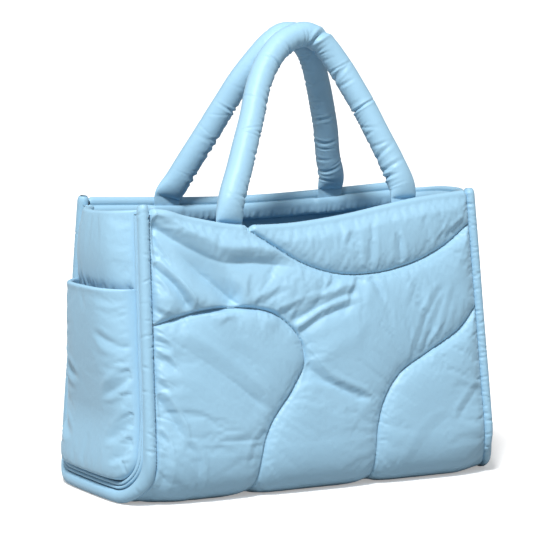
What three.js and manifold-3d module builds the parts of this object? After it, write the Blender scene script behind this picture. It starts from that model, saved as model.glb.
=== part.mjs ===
// A padded (puffer) tote bag. Two quilted walls and a base make a U, two padded gussets close its ends,
// and a stuffed roll with a narrow binding beside it covers each end's seam. Each gusset has a slip pocket,
// the mouth has a hem band inside, and two stuffed tube handles are sewn in under that band.
// Millimetres. X runs across the front, +Y from the front to the back, +Z up.
// The origin is on the floor, under the middle of the bag.
import * as THREE from "three";
import { mergeVertices } from "three/addons/utils/BufferGeometryUtils.js";
import Module from "manifold-3d";

// Driving dimensions. Widths and depths are taken at the seams, inside the rolls.
const BAG_WIDTH = 376; // across the foot
const MOUTH_WIDTH = 361; // across the rim
const BAG_DEPTH = 194; // front to back, where the foot's curve is widest
const MOUTH_DEPTH = 138; // front to back at the rim
const BAG_HEIGHT = 287; // floor to the rim's corners
const FOOT_RADIUS = 40; // the walls turn under with this radius
const BASE_WIDTH = 76; // front to back, between the base's two seams
const FOOT_BOW = 17; // the ends stand out by this along the middle of their foot
const FOOT_BOW_HEIGHT = 90; // and back to nothing at this height
const FIT_GAP = 0.3; // between pieces that are sewn together

const WALL_INNER = 3.5; // from the seam surface to the wall's inside
const SEAM_LEVEL = 1.5; // what a stitched line leaves outside the seam surface
const PUFF_HEIGHT = 10; // the filling's rise between stitched lines
const PUFF_REACH = 38; // how far from a stitched line it takes to rise
const RIM_PUFF = 6; // the wall's rise at its rounded rim
const WALL_BOW = 7; // the front and back walls bow out by this in the middle
const BASE_PUFF = 5; // the base's rise below its seams

const ROLL_RADIUS = 6.5;
const BINDING_WIDTH = 8;
const BINDING_THICKNESS = 4;
const BINDING_GAP = 0.7; // between the gusset and the binding over its edge

const GUSSET_THICKNESS = 3.2; // where it lies under the binding
const GUSSET_PUFF = 9;
const END_BOW = 17; // the gussets bow out by this in their upper half
const END_REACH = 20; // how far from the binding an end piece takes to rise
const GUSSET_RIM = 3; // the rounding over a gusset's top
const POCKET_HEIGHT = 206; // floor to the pocket's mouth
const POCKET_THICKNESS = 6;
const POCKET_ROOM = 8; // free room inside the pocket's middle
const POCKET_EDGE = 2.4; // the pocket's thickness at its seam
const POCKET_RIM = 2.5; // the rounding over a pocket's mouth
const POCKET_LOW = 0.45; // share of the room that is left at the pocket's foot
const POCKET_GAP = 1.5; // between the gusset and the pocket's sewn edge

const HEM_HEIGHT = 17;
const HEM_THICKNESS = 6;
const HEM_DROP = 2; // from the rim's inner edge down to the band

const HANDLE_RADIUS = 12.4;
const FRONT_SPREAD = 201; // between the centres of the front handle's feet
const FRONT_SHIFT = 9; // the middle of its feet, to the right of the bag's middle
const BACK_SPREAD = 192;
const BACK_SHIFT = 2;
const HANDLE_RISE = 165; // rim to the highest point of a handle's centre line
const HANDLE_LEAN = 1.5; // between the two handles where they touch at the top
const TAB_WIDTH = 28;
const TAB_THICKNESS = 2.8;
const TAB_DEPTH = 15; // how far a handle's foot reaches under the hem band
const TAB_RISE = 7; // how far the flat foot stands above the rim before it swells into the tube
const SWELL = 30; // the length of that swelling

const CLOTH = new THREE.Color(0.46, 0.68, 0.83);
const CLOTH_ROUGHNESS = 0.5;

// How finely each piece is cut.
const WALL_COLUMNS = 35;
const WALL_ROWS = 23;
const BACK_COLUMNS = 24;
const BACK_ROWS = 12;
const END_COLUMNS = 10;
const END_ROWS = 8;
const UPPER_ROWS = 4;
const ARC_ROWS = 6;
const INNER_ROWS = 5;
const SNAP_SHARE = 0.48; // a vertex nearer to a stitched line than this share of a column moves onto it
const HEM_COLUMNS = 16;
const ROLL_SIDES = 8;
const ROLL_STEP = 30;
const HANDLE_SIDES = 10;
const HANDLE_STEPS = 30;

// The quilting lines of the front wall: across is a share of the half width, up one of the bag's height.
const FRONT_SEAMS = [
  [
    { across: -1.0, up: 0.607 },
    { across: -0.75, up: 0.643 },
    { across: -0.5, up: 0.65 },
    { across: -0.3, up: 0.622 },
    { across: -0.165, up: 0.545 },
    { across: -0.13, up: 0.455 },
    { across: -0.21, up: 0.36 },
    { across: -0.345, up: 0.24 },
    { across: -0.405, up: 0.12 },
    { across: -0.415, up: 0.0 },
  ],
  [
    { across: -0.51, up: 0.95 },
    { across: -0.29, up: 0.86 },
    { across: -0.09, up: 0.785 },
    { across: 0.12, up: 0.745 },
    { across: 0.36, up: 0.742 },
    { across: 0.61, up: 0.772 },
    { across: 0.82, up: 0.826 },
    { across: 1.0, up: 0.9 },
  ],
  [
    { across: 1.0, up: 0.605 },
    { across: 0.87, up: 0.525 },
    { across: 0.64, up: 0.449 },
    { across: 0.46, up: 0.386 },
    { across: 0.355, up: 0.295 },
    { across: 0.31, up: 0.2 },
    { across: 0.285, up: 0.1 },
    { across: 0.28, up: 0.0 },
  ],
];

// The back wall, out of sight in use, has two plain waves.
const BACK_SEAMS = [
  [
    { across: -1.0, up: 0.7 },
    { across: -0.4, up: 0.6 },
    { across: 0.3, up: 0.74 },
    { across: 1.0, up: 0.66 },
  ],
  [
    { across: -1.0, up: 0.34 },
    { across: -0.3, up: 0.26 },
    { across: 0.4, up: 0.4 },
    { across: 1.0, up: 0.3 },
  ],
];

// The front wall's main folds. rise and width are shares of PUFF_HEIGHT and PUFF_REACH,
// bend a share of the fold's own length.
const FRONT_FOLDS = [
  { fromAcross: -0.98, fromUp: 0.945, toAcross: -0.55, toUp: 0.815, bend: 0.05, width: 0.24, rise: -0.75 },
  { fromAcross: -0.62, fromUp: 0.81, toAcross: -0.07, toUp: 0.8, bend: -0.06, width: 0.22, rise: -0.55 },
  { fromAcross: -0.86, fromUp: 0.86, toAcross: -0.46, toUp: 0.65, bend: -0.07, width: 0.26, rise: -0.7 },
  { fromAcross: -0.94, fromUp: 0.84, toAcross: -0.5, toUp: 0.67, bend: -0.1, width: 0.3, rise: 0.35 },
  { fromAcross: -0.97, fromUp: 0.8, toAcross: -0.72, toUp: 0.64, bend: 0.06, width: 0.16, rise: -0.4 },
  { fromAcross: -0.17, fromUp: 0.56, toAcross: 0.22, toUp: 0.66, bend: -0.05, width: 0.24, rise: -0.5 },
  { fromAcross: -0.28, fromUp: 0.62, toAcross: 0.14, toUp: 0.72, bend: -0.04, width: 0.2, rise: -0.35 },
  { fromAcross: -0.95, fromUp: 0.55, toAcross: -0.3, toUp: 0.3, bend: 0.05, width: 0.34, rise: -0.3 },
  { fromAcross: -0.97, fromUp: 0.38, toAcross: -0.55, toUp: 0.14, bend: -0.05, width: 0.26, rise: -0.6 },
  { fromAcross: -0.12, fromUp: 0.42, toAcross: 0.26, toUp: 0.28, bend: -0.06, width: 0.3, rise: -0.35 },
  { fromAcross: 0.5, fromUp: 0.68, toAcross: 0.62, toUp: 0.5, bend: 0.05, width: 0.3, rise: -0.2 },
];

// How far the front rim hangs below its corners, as a share of the bag's height.
const FRONT_RIM = [
  { across: -1.0, drop: 0.02 },
  { across: -0.78, drop: 0.05 },
  { across: -0.5, drop: 0.084 },
  { across: -0.28, drop: 0.091 },
  { across: -0.08, drop: 0.086 },
  { across: 0.2, drop: 0.066 },
  { across: 0.42, drop: 0.043 },
  { across: 0.68, drop: 0.018 },
  { across: 1.0, drop: 0.0 },
];
const BACK_RIM = [
  { across: -1.0, drop: 0.014 },
  { across: 0.0, drop: 0.03 },
  { across: 1.0, drop: 0.0 },
];
const END_RIM = [
  { across: -1.0, drop: 0.02 },
  { across: 0.1, drop: 0.032 },
  { across: 1.0, drop: 0.03 },
];

// A gusset's filling from the floor up: share of GUSSET_PUFF. It is pressed flat behind the pocket.
const GUSSET_FILL = [
  { up: 0.0, fill: 0.3 },
  { up: 0.6, fill: 0.25 },
  { up: 0.7, fill: 0.3 },
  { up: 0.76, fill: 0.75 },
  { up: 0.86, fill: 1.0 },
  { up: 1.0, fill: 0.55 },
];

// A handle's centre line from its right foot to its left one: across is a share of half the spread,
// up a share of the way from the rim to the handle's top, inward a share of the way to the other handle.
const FRONT_ROUTE = [
  { across: 1.0, up: 0.11, inward: 0.07 },
  { across: 0.925, up: 0.25, inward: 0.22 },
  { across: 0.8, up: 0.436, inward: 0.42 },
  { across: 0.66, up: 0.63, inward: 0.64 },
  { across: 0.5, up: 0.815, inward: 0.86 },
  { across: 0.34, up: 0.945, inward: 0.97 },
  { across: 0.155, up: 1.0, inward: 1.0 },
  { across: -0.08, up: 0.966, inward: 0.98 },
  { across: -0.255, up: 0.889, inward: 0.92 },
  { across: -0.39, up: 0.8, inward: 0.82 },
  { across: -0.495, up: 0.695, inward: 0.7 },
  { across: -0.585, up: 0.58, inward: 0.56 },
  { across: -0.7, up: 0.44, inward: 0.41 },
  { across: -0.82, up: 0.3, inward: 0.26 },
  { across: -0.96, up: 0.14, inward: 0.08 },
];
const BACK_ROUTE = [
  { across: 1.0, up: 0.11, inward: 0.07 },
  { across: 0.917, up: 0.24, inward: 0.2 },
  { across: 0.812, up: 0.432, inward: 0.42 },
  { across: 0.677, up: 0.627, inward: 0.64 },
  { across: 0.52, up: 0.822, inward: 0.86 },
  { across: 0.406, up: 0.917, inward: 0.95 },
  { across: 0.26, up: 0.99, inward: 1.0 },
  { across: 0.115, up: 0.995, inward: 1.0 },
  { across: -0.036, up: 0.94, inward: 0.97 },
  { across: -0.177, up: 0.852, inward: 0.88 },
  { across: -0.333, up: 0.728, inward: 0.74 },
  { across: -0.464, up: 0.592, inward: 0.58 },
  { across: -0.583, up: 0.46, inward: 0.43 },
  { across: -0.73, up: 0.31, inward: 0.27 },
  { across: -0.9, up: 0.13, inward: 0.08 },
];
// Creases across a handle, where its filling parts: at is a share of its length, depth one of its radius.
const HANDLE_CREASES = [
  { at: 0.17, depth: 0.14 },
  { at: 0.26, depth: 0.16 },
  { at: 0.345, depth: 0.18 },
  { at: 0.46, depth: 0.3 },
  { at: 0.56, depth: 0.16 },
  { at: 0.64, depth: 0.14 },
  { at: 0.76, depth: 0.12 },
];
const CREASE_WIDTH = 9; // along the handle

const wasm = await Module();
wasm.setup();

// The side outline, by distance from the middle of the base: floor, round foot, leaning wall.
// SEAM_FLOOR is the seam's height under the bag, so that the rolls clear the floor.
const SEAM_FLOOR = ROLL_RADIUS + FIT_GAP;
const FOOT_Y = BAG_DEPTH / 2 - FOOT_RADIUS;
const FOOT_Z = SEAM_FLOOR + FOOT_RADIUS;
const LEAN =
  Math.atan2(FOOT_Y - MOUTH_DEPTH / 2, BAG_HEIGHT - FOOT_Z) +
  Math.asin(FOOT_RADIUS / Math.hypot(FOOT_Y - MOUTH_DEPTH / 2, BAG_HEIGHT - FOOT_Z));
const ARC_ANGLE = Math.PI / 2 + LEAN;
const ARC_START = FOOT_Y;
const ARC_END = ARC_START + FOOT_RADIUS * ARC_ANGLE;
const WALL_FOOT_Z = FOOT_Z + FOOT_RADIUS * Math.sin(LEAN);
const WALL_FOOT_Y = FOOT_Y + FOOT_RADIUS * Math.cos(LEAN);
const OUTLINE_LENGTH = ARC_END + (BAG_HEIGHT - WALL_FOOT_Z) / Math.cos(LEAN);

// Where the outline is at a distance s from the middle of the base, and which way faces out there.
function outline(s) {
  if (s <= ARC_START) {
    return { y: s, z: SEAM_FLOOR, outY: 0, outZ: -1 };
  }
  if (s <= ARC_END) {
    const turn = (s - ARC_START) / FOOT_RADIUS;
    const outY = Math.sin(turn);
    const outZ = -Math.cos(turn);
    return { y: FOOT_Y + FOOT_RADIUS * outY, z: FOOT_Z + FOOT_RADIUS * outZ, outY, outZ };
  }
  const rise = s - ARC_END;
  return {
    y: WALL_FOOT_Y - rise * Math.sin(LEAN),
    z: WALL_FOOT_Z + rise * Math.cos(LEAN),
    outY: Math.cos(LEAN),
    outZ: Math.sin(LEAN),
  };
}

// Distances along the outline's round foot, from its start to its end.
const ARC_STATIONS = [];
for (let k = 0; k <= ARC_ROWS; k += 1) {
  ARC_STATIONS.push(ARC_START + ((ARC_END - ARC_START) * k) / ARC_ROWS);
}

// The distance along the outline at which a share of the bag's height is reached; 0 is the base's seam.
function alongAtUp(up) {
  const z = up * BAG_HEIGHT;
  if (z >= WALL_FOOT_Z) {
    return ARC_END + (z - WALL_FOOT_Z) / Math.cos(LEAN);
  }
  return BASE_WIDTH / 2 + (up * BAG_HEIGHT * (ARC_END - BASE_WIDTH / 2)) / WALL_FOOT_Z;
}

// Half the bag's depth at a height, on the outline moved in by inset.
function halfDepth(z, inset) {
  const radius = FOOT_RADIUS - inset;
  if (z >= FOOT_Z + radius * Math.sin(LEAN)) {
    return WALL_FOOT_Y - (z - WALL_FOOT_Z) * Math.tan(LEAN) - inset / Math.cos(LEAN);
  }
  const below = Math.min(Math.max(FOOT_Z - z, -radius), radius);
  return FOOT_Y + Math.sqrt(radius * radius - below * below);
}

function halfWidth(z) {
  const share = (z - SEAM_FLOOR) / (BAG_HEIGHT - SEAM_FLOOR);
  return THREE.MathUtils.lerp(BAG_WIDTH, MOUTH_WIDTH, share) / 2;
}

// How much further out an end stands at a place near the floor.
function footBow(y, z) {
  const share = Math.min(Math.abs(y) / (BAG_DEPTH / 2), 1);
  const downward = 1 - THREE.MathUtils.smoothstep(z, SEAM_FLOOR, FOOT_BOW_HEIGHT);
  return FOOT_BOW * (1 - Math.pow(share, 4)) * downward;
}

// Half the width of a wall at a distance along the outline.
function wallEdge(s) {
  const at = outline(s);
  return halfWidth(at.z) + footBow(at.y, at.z);
}

// A table read as a smooth curve: value of column `give` where column `at` is x.
function readTable(table, at, give, x) {
  const last = table.length - 1;
  if (x <= table[0][at]) {
    return table[0][give];
  }
  if (x >= table[last][at]) {
    return table[last][give];
  }
  let i = 0;
  while (table[i + 1][at] < x) {
    i += 1;
  }
  const span = table[i + 1][at] - table[i][at];
  const slope = (k) => {
    const a = Math.max(k - 1, 0);
    const b = Math.min(k + 1, last);
    return (table[b][give] - table[a][give]) / (table[b][at] - table[a][at]);
  };
  const t = (x - table[i][at]) / span;
  const t2 = t * t;
  const t3 = t2 * t;
  return (
    (2 * t3 - 3 * t2 + 1) * table[i][give] +
    (t3 - 2 * t2 + t) * span * slope(i) +
    (3 * t2 - 2 * t3) * table[i + 1][give] +
    (t3 - t2) * span * slope(i + 1)
  );
}

// A closed solid from shared vertices; its faces are turned to point out.
function solidFrom(points, triangles) {
  let volume = 0;
  for (const [a, b, c] of triangles) {
    volume += points[a].dot(new THREE.Vector3().crossVectors(points[b], points[c]));
  }
  const index = triangles.flatMap(([a, b, c]) => (volume < 0 ? [a, c, b] : [a, b, c]));
  const geometry = new THREE.BufferGeometry().setFromPoints(points);
  geometry.setIndex(index);
  return geometry;
}

// Closed rings of equal count, skinned one to the next, with a cap on each end.
// cap gives the triangles that fill a ring. follows(i, k) picks a quad's diagonal.
function loft(rings, cap, follows = () => false) {
  const count = rings[0].length;
  const points = rings.flat();
  const triangles = [];
  for (let i = 0; i + 1 < rings.length; i += 1) {
    for (let k = 0; k < count; k += 1) {
      const a = i * count + k;
      const b = i * count + ((k + 1) % count);
      const c = b + count;
      const d = a + count;
      if (follows(i, k)) {
        triangles.push([a, b, d], [b, c, d]);
      } else {
        triangles.push([a, b, c], [a, c, d]);
      }
    }
  }
  const name = (a, b) => a * points.length + b;
  const sides = ([a, b, c]) => [name(a, b), name(b, c), name(c, a)];
  const used = new Set(triangles.flatMap(sides));
  for (const i of [0, rings.length - 1]) {
    const faces = cap(rings[i]).map((face) => face.map((k) => i * count + k));
    // The skin has used the ring's own edges one way, so the cap's faces take them the other way.
    const agrees = faces.some((face) => sides(face).some((side) => used.has(side)));
    triangles.push(...faces.map(([a, b, c]) => (agrees ? [a, c, b] : [a, b, c])));
  }
  return solidFrom(points, triangles);
}

// A flat ring's cap, cut into triangles in the plane of two axes.
function flatCap(p, q) {
  return (ring) => {
    const flat = ring.map((v) => new THREE.Vector2(v[p], v[q]));
    return THREE.ShapeUtils.triangulateShape(flat, []);
  };
}

// The cap of a ring whose second half runs back beside its first half.
function pairedCap(ring) {
  const last = ring.length - 1;
  const faces = [];
  for (let k = 0; 2 * k + 3 <= last; k += 1) {
    faces.push([k, k + 1, last - k - 1], [k, last - k - 1, last - k]);
  }
  return faces;
}

// Points of a stitched line on a wall, as across (mm) and along (mm on the outline).
function stitchedLine(table) {
  const corners = table.map(({ across, up }) => {
    const along = alongAtUp(up);
    return new THREE.Vector3(across * wallEdge(along), along, 0);
  });
  return new THREE.CatmullRomCurve3(corners, false, "centripetal").getPoints(12 * corners.length);
}

// The nearest point of some lines, and how far it is.
function nearest(lines, x, y) {
  const best = { distance: Infinity, x, y };
  for (const line of lines) {
    for (let i = 0; i + 1 < line.length; i += 1) {
      const dx = line[i + 1].x - line[i].x;
      const dy = line[i + 1].y - line[i].y;
      const t = ((x - line[i].x) * dx + (y - line[i].y) * dy) / (dx * dx + dy * dy);
      const share = THREE.MathUtils.clamp(t, 0, 1);
      const px = line[i].x + share * dx;
      const py = line[i].y + share * dy;
      const distance = Math.hypot(x - px, y - py);
      if (distance < best.distance) {
        Object.assign(best, { distance, x: px, y: py });
      }
    }
  }
  return best;
}

// The filling's rise at a distance from what holds it down: a quarter of a round.
function puff(distance, reach) {
  const t = THREE.MathUtils.clamp(distance / reach, 0, 1);
  return Math.sqrt(1 - (1 - t) * (1 - t));
}

// One fold's rise at a point of the wall, on a bent line between its two ends.
function foldRise(fold, x, along) {
  const fromAlong = alongAtUp(fold.fromUp);
  const toAlong = alongAtUp(fold.toUp);
  const fromX = fold.fromAcross * wallEdge(fromAlong);
  const toX = fold.toAcross * wallEdge(toAlong);
  const dx = toX - fromX;
  const dy = toAlong - fromAlong;
  const length = Math.hypot(dx, dy);
  const t = ((x - fromX) * dx + (along - fromAlong) * dy) / (length * length);
  if (t <= 0 || t >= 1) {
    return 0;
  }
  const side = ((along - fromAlong) * dx - (x - fromX) * dy) / length;
  const offset = side - fold.bend * length * 4 * t * (1 - t);
  const width = fold.width * PUFF_REACH;
  return fold.rise * PUFF_HEIGHT * Math.sin(Math.PI * t) * Math.exp(-(offset * offset) / (width * width));
}

// The front or back wall, from the base's seam round the foot and up to its rounded rim.
// side is -1 for the front and 1 for the back.
function wall({ side, columns, rows, seams, folds, rim }) {
  const lines = seams.map(stitchedLine);
  const start = BASE_WIDTH / 2 + FIT_GAP / 2;
  const pitch = BAG_WIDTH / columns;
  const snapped = new Set();
  const rings = [];
  for (let i = 0; i <= columns; i += 1) {
    const across = -1 + (2 * i) / columns;
    const top = rimAlong(rim, across);
    const place = (x, s, h) => {
      const at = outline(s);
      const edge = wallEdge(s) - FIT_GAP;
      const share = x / edge;
      const out = h + bow(share, s, top);
      return new THREE.Vector3(
        x,
        side * (at.y + out * at.outY),
        at.z + out * at.outZ,
      );
    };
    const outerHeight = (x, s) => {
      const edge = wallEdge(s) - FIT_GAP;
      const toSeam = nearest(lines, x, s).distance;
      const toEdge = Math.min(edge - Math.abs(x), s - start);
      const rise = PUFF_HEIGHT * puff(Math.min(toSeam, toEdge), PUFF_REACH);
      const toRim = THREE.MathUtils.smoothstep(top - s, 0, PUFF_REACH);
      const folded = folds.reduce((sum, fold) => sum + foldRise(fold, x, s), 0);
      const underFloor = THREE.MathUtils.smoothstep(s, start, ARC_END);
      const crown = THREE.MathUtils.lerp(Math.min(rise, RIM_PUFF), rise, toRim);
      const flattened = Math.min(crown, BASE_PUFF - SEAM_LEVEL);
      const held = THREE.MathUtils.lerp(flattened, crown + folded, underFloor);
      return SEAM_LEVEL + Math.max(held, 0);
    };
    const ring = [];
    const sOf = [start, ...ARC_STATIONS];
    for (let k = 1; k <= rows; k += 1) {
      sOf.push(ARC_END + ((top - ARC_END) * k) / rows);
    }
    sOf.forEach((s, k) => {
      const edge = wallEdge(s) - FIT_GAP;
      let x = across * edge;
      let along = s;
      const inside = i > 0 && i < columns && k > 0 && k < sOf.length - 1;
      const hit = nearest(lines, x, s);
      if (inside && hit.distance < SNAP_SHARE * pitch) {
        x = hit.x;
        along = hit.y;
        snapped.add(i * 1000 + k);
      }
      ring.push(place(x, along, outerHeight(x, along)));
    });
    const edgeTop = wallEdge(top) - FIT_GAP;
    const rimOut = outerHeight(across * edgeTop, top);
    const rimMiddle = (rimOut - WALL_INNER) / 2;
    const rimRadius = (rimOut + WALL_INNER) / 2;
    for (const turn of [0.25, 0.5, 0.75]) {
      const angle = turn * Math.PI;
      const h = rimMiddle + rimRadius * Math.cos(angle);
      const s = top + rimRadius * Math.sin(angle);
      ring.push(place(across * edgeTop, s, h));
    }
    for (let k = 0; k <= INNER_ROWS; k += 1) {
      const s = top + ((ARC_END - top) * k) / INNER_ROWS;
      ring.push(place(across * (wallEdge(s) - FIT_GAP), s, -WALL_INNER));
    }
    for (const s of [start, ...ARC_STATIONS.slice(0, -1)].reverse()) {
      ring.push(place(across * (wallEdge(s) - FIT_GAP), s, -WALL_INNER));
    }
    rings.push(ring);
  }
  const onSeam = (i, k) => snapped.has(i * 1000 + k);
  return loft(rings, flatCap("y", "z"), (i, k) => onSeam(i, k + 1) && onSeam(i + 1, k));
}

// Where a wall ends at its rim, by distance along the outline.
function rimAlong(rim, across) {
  return OUTLINE_LENGTH - (readTable(rim, "across", "drop", across) * BAG_HEIGHT) / Math.cos(LEAN);
}

// How far a wall bows out: nothing at its ends and under the bag, most in the middle.
function bow(share, s, top) {
  const up = THREE.MathUtils.clamp((s - ARC_END) / (top - ARC_END), 0, 1);
  const across = 1 - Math.min(share * share, 1);
  const upward = Math.sin(Math.PI * (0.08 + 0.84 * up)) * THREE.MathUtils.smoothstep(s, ARC_START, ARC_END);
  return WALL_BOW * across * upward;
}

// The base, flat underneath, between the two walls' lower seams.
function basePanel() {
  const half = BASE_WIDTH / 2 - FIT_GAP / 2;
  const end = wallEdge(half) - FIT_GAP;
  const slope = SEAM_FLOOR - SEAM_LEVEL;
  const ring = (x, low) => [
    new THREE.Vector3(x, -half, SEAM_FLOOR + WALL_INNER),
    new THREE.Vector3(x, -half, SEAM_FLOOR - SEAM_LEVEL),
    new THREE.Vector3(x, slope - half, low),
    new THREE.Vector3(x, half - slope, low),
    new THREE.Vector3(x, half, SEAM_FLOOR - SEAM_LEVEL),
    new THREE.Vector3(x, half, SEAM_FLOOR + WALL_INNER),
  ];
  const rings = [ring(-end, slope), ring(slope - end, 0), ring(end - slope, 0), ring(end, slope)];
  return loft(rings, flatCap("y", "z"));
}

const GUSSET_INSET = ROLL_RADIUS + FIT_GAP;
const BINDING_INSET = GUSSET_INSET + BINDING_WIDTH + 2 * FIT_GAP;
const GUSSET_INNER = 0.1;

// How far a point of the bag's end lies inside the outline.
function insetOf(y, z) {
  const past = Math.abs(y) - FOOT_Y;
  const below = FOOT_Z - z;
  if (past > 0 && below > 0) {
    return FOOT_RADIUS - Math.hypot(past, below);
  }
  return Math.min((halfDepth(z, 0) - Math.abs(y)) * Math.cos(LEAN), z - SEAM_FLOOR);
}

// The rise of a filled end piece that is held down along the binding's inner edge.
function endPuff(y, z) {
  return puff(insetOf(y, z) - BINDING_INSET, END_REACH);
}

// How far the end itself bows out: full across its middle, and less towards the floor.
function endBow(y, z) {
  const share = Math.min(Math.abs(y) / halfDepth(z, BINDING_INSET), 1);
  const upward = THREE.MathUtils.smoothstep(z, SEAM_FLOOR, 0.68 * BAG_HEIGHT);
  const held = THREE.MathUtils.smoothstep(insetOf(y, z), BINDING_INSET, BINDING_INSET + 2);
  return END_BOW * THREE.MathUtils.lerp(0.15, 1, upward) * Math.sqrt(1 - Math.pow(share, 4)) * held;
}

// A surface on the bag's end, closed through its thickness: columns from front to back, rows upwards.
// Columns and rows crowd towards the held edges. hem, if there is one, is a flat margin outside them.
// outer and inner give the distance outside the seam plane at a place from front to back and a height.
function endSheet({ side, hem, heightsAt, outer, inner, rimRadius }) {
  const columns = [];
  for (let i = 0; i <= END_COLUMNS; i += 1) {
    columns.push({ share: Math.sin((Math.PI / 2) * (-1 + (2 * i) / END_COLUMNS)), edge: false });
  }
  if (hem) {
    columns.unshift({ share: -1, edge: true });
    columns.push({ share: 1, edge: true });
  }
  const depthAt = (z, edge) => {
    if (edge) {
      return halfDepth(z, GUSSET_INSET);
    }
    const held = SEAM_FLOOR + BINDING_INSET;
    return z < held ? FOOT_Y - (held - z) / 2 : halfDepth(z, BINDING_INSET);
  };
  const rings = columns.map(({ share, edge }) => {
    const heights = heightsAt(share);
    const high = heights[heights.length - 1];
    const place = (z, y, out) => {
      const seam = halfWidth(Math.min(z, high)) + footBow(y, z);
      return new THREE.Vector3(side * (seam + out), y, z);
    };
    const grid = heights.map((z) => ({ z, y: share * depthAt(z, edge) }));
    const ring = grid.map(({ z, y }) => place(z, y, outer(y, z)));
    const top = grid[grid.length - 1];
    const front = outer(top.y, high);
    const back = inner(top.y, high);
    for (const turn of [0.3, 0.7]) {
      const angle = turn * Math.PI;
      const out = (front + back) / 2 + ((front - back) / 2) * Math.cos(angle);
      ring.push(place(high + rimRadius * Math.sin(angle), top.y, out));
    }
    grid.reverse().forEach(({ z, y }) => ring.push(place(z, y, inner(y, z))));
    return ring;
  });
  return loft(rings, pairedCap);
}

const endRimHeight = (share) => BAG_HEIGHT * (1 - readTable(END_RIM, "across", "drop", share));

// Heights of the rows that the gusset and its pocket share, from the binding up to the pocket's mouth.
function pocketRows() {
  const low = SEAM_FLOOR + BINDING_INSET;
  const rows = [];
  for (let k = 0; k <= END_ROWS; k += 1) {
    rows.push(low + (POCKET_HEIGHT - low) * Math.pow(k / END_ROWS, 1.6));
  }
  return rows;
}

const gussetFill = (z) => GUSSET_PUFF * readTable(GUSSET_FILL, "up", "fill", z / BAG_HEIGHT);

function gusset(side) {
  return endSheet({
    side,
    hem: true,
    heightsAt: (share) => {
      const rows = [SEAM_FLOOR + GUSSET_INSET, ...pocketRows()];
      for (let k = 1; k <= UPPER_ROWS; k += 1) {
        rows.push(THREE.MathUtils.lerp(POCKET_HEIGHT, endRimHeight(share), k / UPPER_ROWS));
      }
      return rows;
    },
    outer: (y, z) => GUSSET_INNER + GUSSET_THICKNESS + gussetFill(z) * endPuff(y, z) + endBow(y, z),
    inner: (y, z) => GUSSET_INNER + endBow(y, z),
    rimRadius: GUSSET_RIM,
  });
}

// The pocket is sewn in beside the binding on three sides and stands off the gusset in its middle.
function pocketInner(y, z) {
  const upward = THREE.MathUtils.smoothstep(z, 0, POCKET_HEIGHT);
  const room = POCKET_ROOM * THREE.MathUtils.lerp(POCKET_LOW, 1, upward);
  const puffed = (gussetFill(z) + room) * endPuff(y, z);
  return GUSSET_INNER + GUSSET_THICKNESS + POCKET_GAP + puffed + endBow(y, z);
}

function pocket(side) {
  return endSheet({
    side,
    hem: false,
    heightsAt: pocketRows,
    outer: (y, z) => pocketInner(y, z) + THREE.MathUtils.lerp(POCKET_EDGE, POCKET_THICKNESS, endPuff(y, z)),
    inner: pocketInner,
    rimRadius: POCKET_RIM,
  });
}

// Places along the whole U of an end, from the front rim under the bag to the back rim.
function uStations(step, ends) {
  const half = [];
  const floorSteps = Math.max(1, Math.round(ARC_START / step));
  const wallSteps = Math.round((OUTLINE_LENGTH - ends - ARC_END) / step);
  for (let k = 0; k < floorSteps; k += 1) {
    half.push((ARC_START * k) / floorSteps);
  }
  half.push(...ARC_STATIONS);
  for (let k = 1; k <= wallSteps; k += 1) {
    half.push(ARC_END + ((OUTLINE_LENGTH - ends - ARC_END) * k) / wallSteps);
  }
  const front = half.slice(1).reverse().map((s) => ({ s, side: -1 }));
  return [...front, ...half.map((s) => ({ s, side: 1 }))];
}

// The seam's own height decides how far out the end stands there.
function uPoint({ s, side }, end, out, offset) {
  const at = outline(s);
  const y = at.y + offset * at.outY;
  const z = at.z + offset * at.outZ;
  return new THREE.Vector3(end * (halfWidth(at.z) + footBow(y, z) + out), side * y, z);
}

// The stuffed roll over an end's seam, with rounded tips at the rim.
function edgeRoll(end) {
  const tips = ROLL_RADIUS;
  const stations = uStations(ROLL_STEP, tips);
  const rings = [];
  const ringAt = (station, radius) => {
    const ring = [];
    for (let k = 0; k < ROLL_SIDES; k += 1) {
      const angle = ((k + 0.5) * 2 * Math.PI) / ROLL_SIDES;
      ring.push(
        uPoint(
          station,
          end,
          GUSSET_INNER + ROLL_RADIUS + radius * Math.cos(angle),
          radius * Math.sin(angle),
        ),
      );
    }
    return ring;
  };
  const first = stations[0];
  const last = stations[stations.length - 1];
  rings.push(ringAt({ s: first.s + tips, side: first.side }, 0.35 * ROLL_RADIUS));
  rings.push(ringAt({ s: first.s + 0.7 * tips, side: first.side }, 0.75 * ROLL_RADIUS));
  stations.forEach((station) => rings.push(ringAt(station, ROLL_RADIUS)));
  rings.push(ringAt({ s: last.s + 0.7 * tips, side: last.side }, 0.75 * ROLL_RADIUS));
  rings.push(ringAt({ s: last.s + tips, side: last.side }, 0.35 * ROLL_RADIUS));
  return loft(rings, flatCap("x", "y"));
}

// The flat binding beside the roll, on the gusset's side.
function edgeBinding(end) {
  const near = GUSSET_INNER + GUSSET_THICKNESS + BINDING_GAP;
  const far = near + BINDING_THICKNESS;
  const rings = uStations(ROLL_STEP, 2 * ROLL_RADIUS).map((station) => [
    uPoint(station, end, near, -GUSSET_INSET - FIT_GAP),
    uPoint(station, end, far - 1, -GUSSET_INSET - FIT_GAP),
    uPoint(station, end, far, -GUSSET_INSET - BINDING_WIDTH / 2),
    uPoint(station, end, far - 1, -GUSSET_INSET - BINDING_WIDTH),
    uPoint(station, end, near, -GUSSET_INSET - BINDING_WIDTH),
  ]);
  return loft(rings, flatCap("x", "y"));
}

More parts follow.
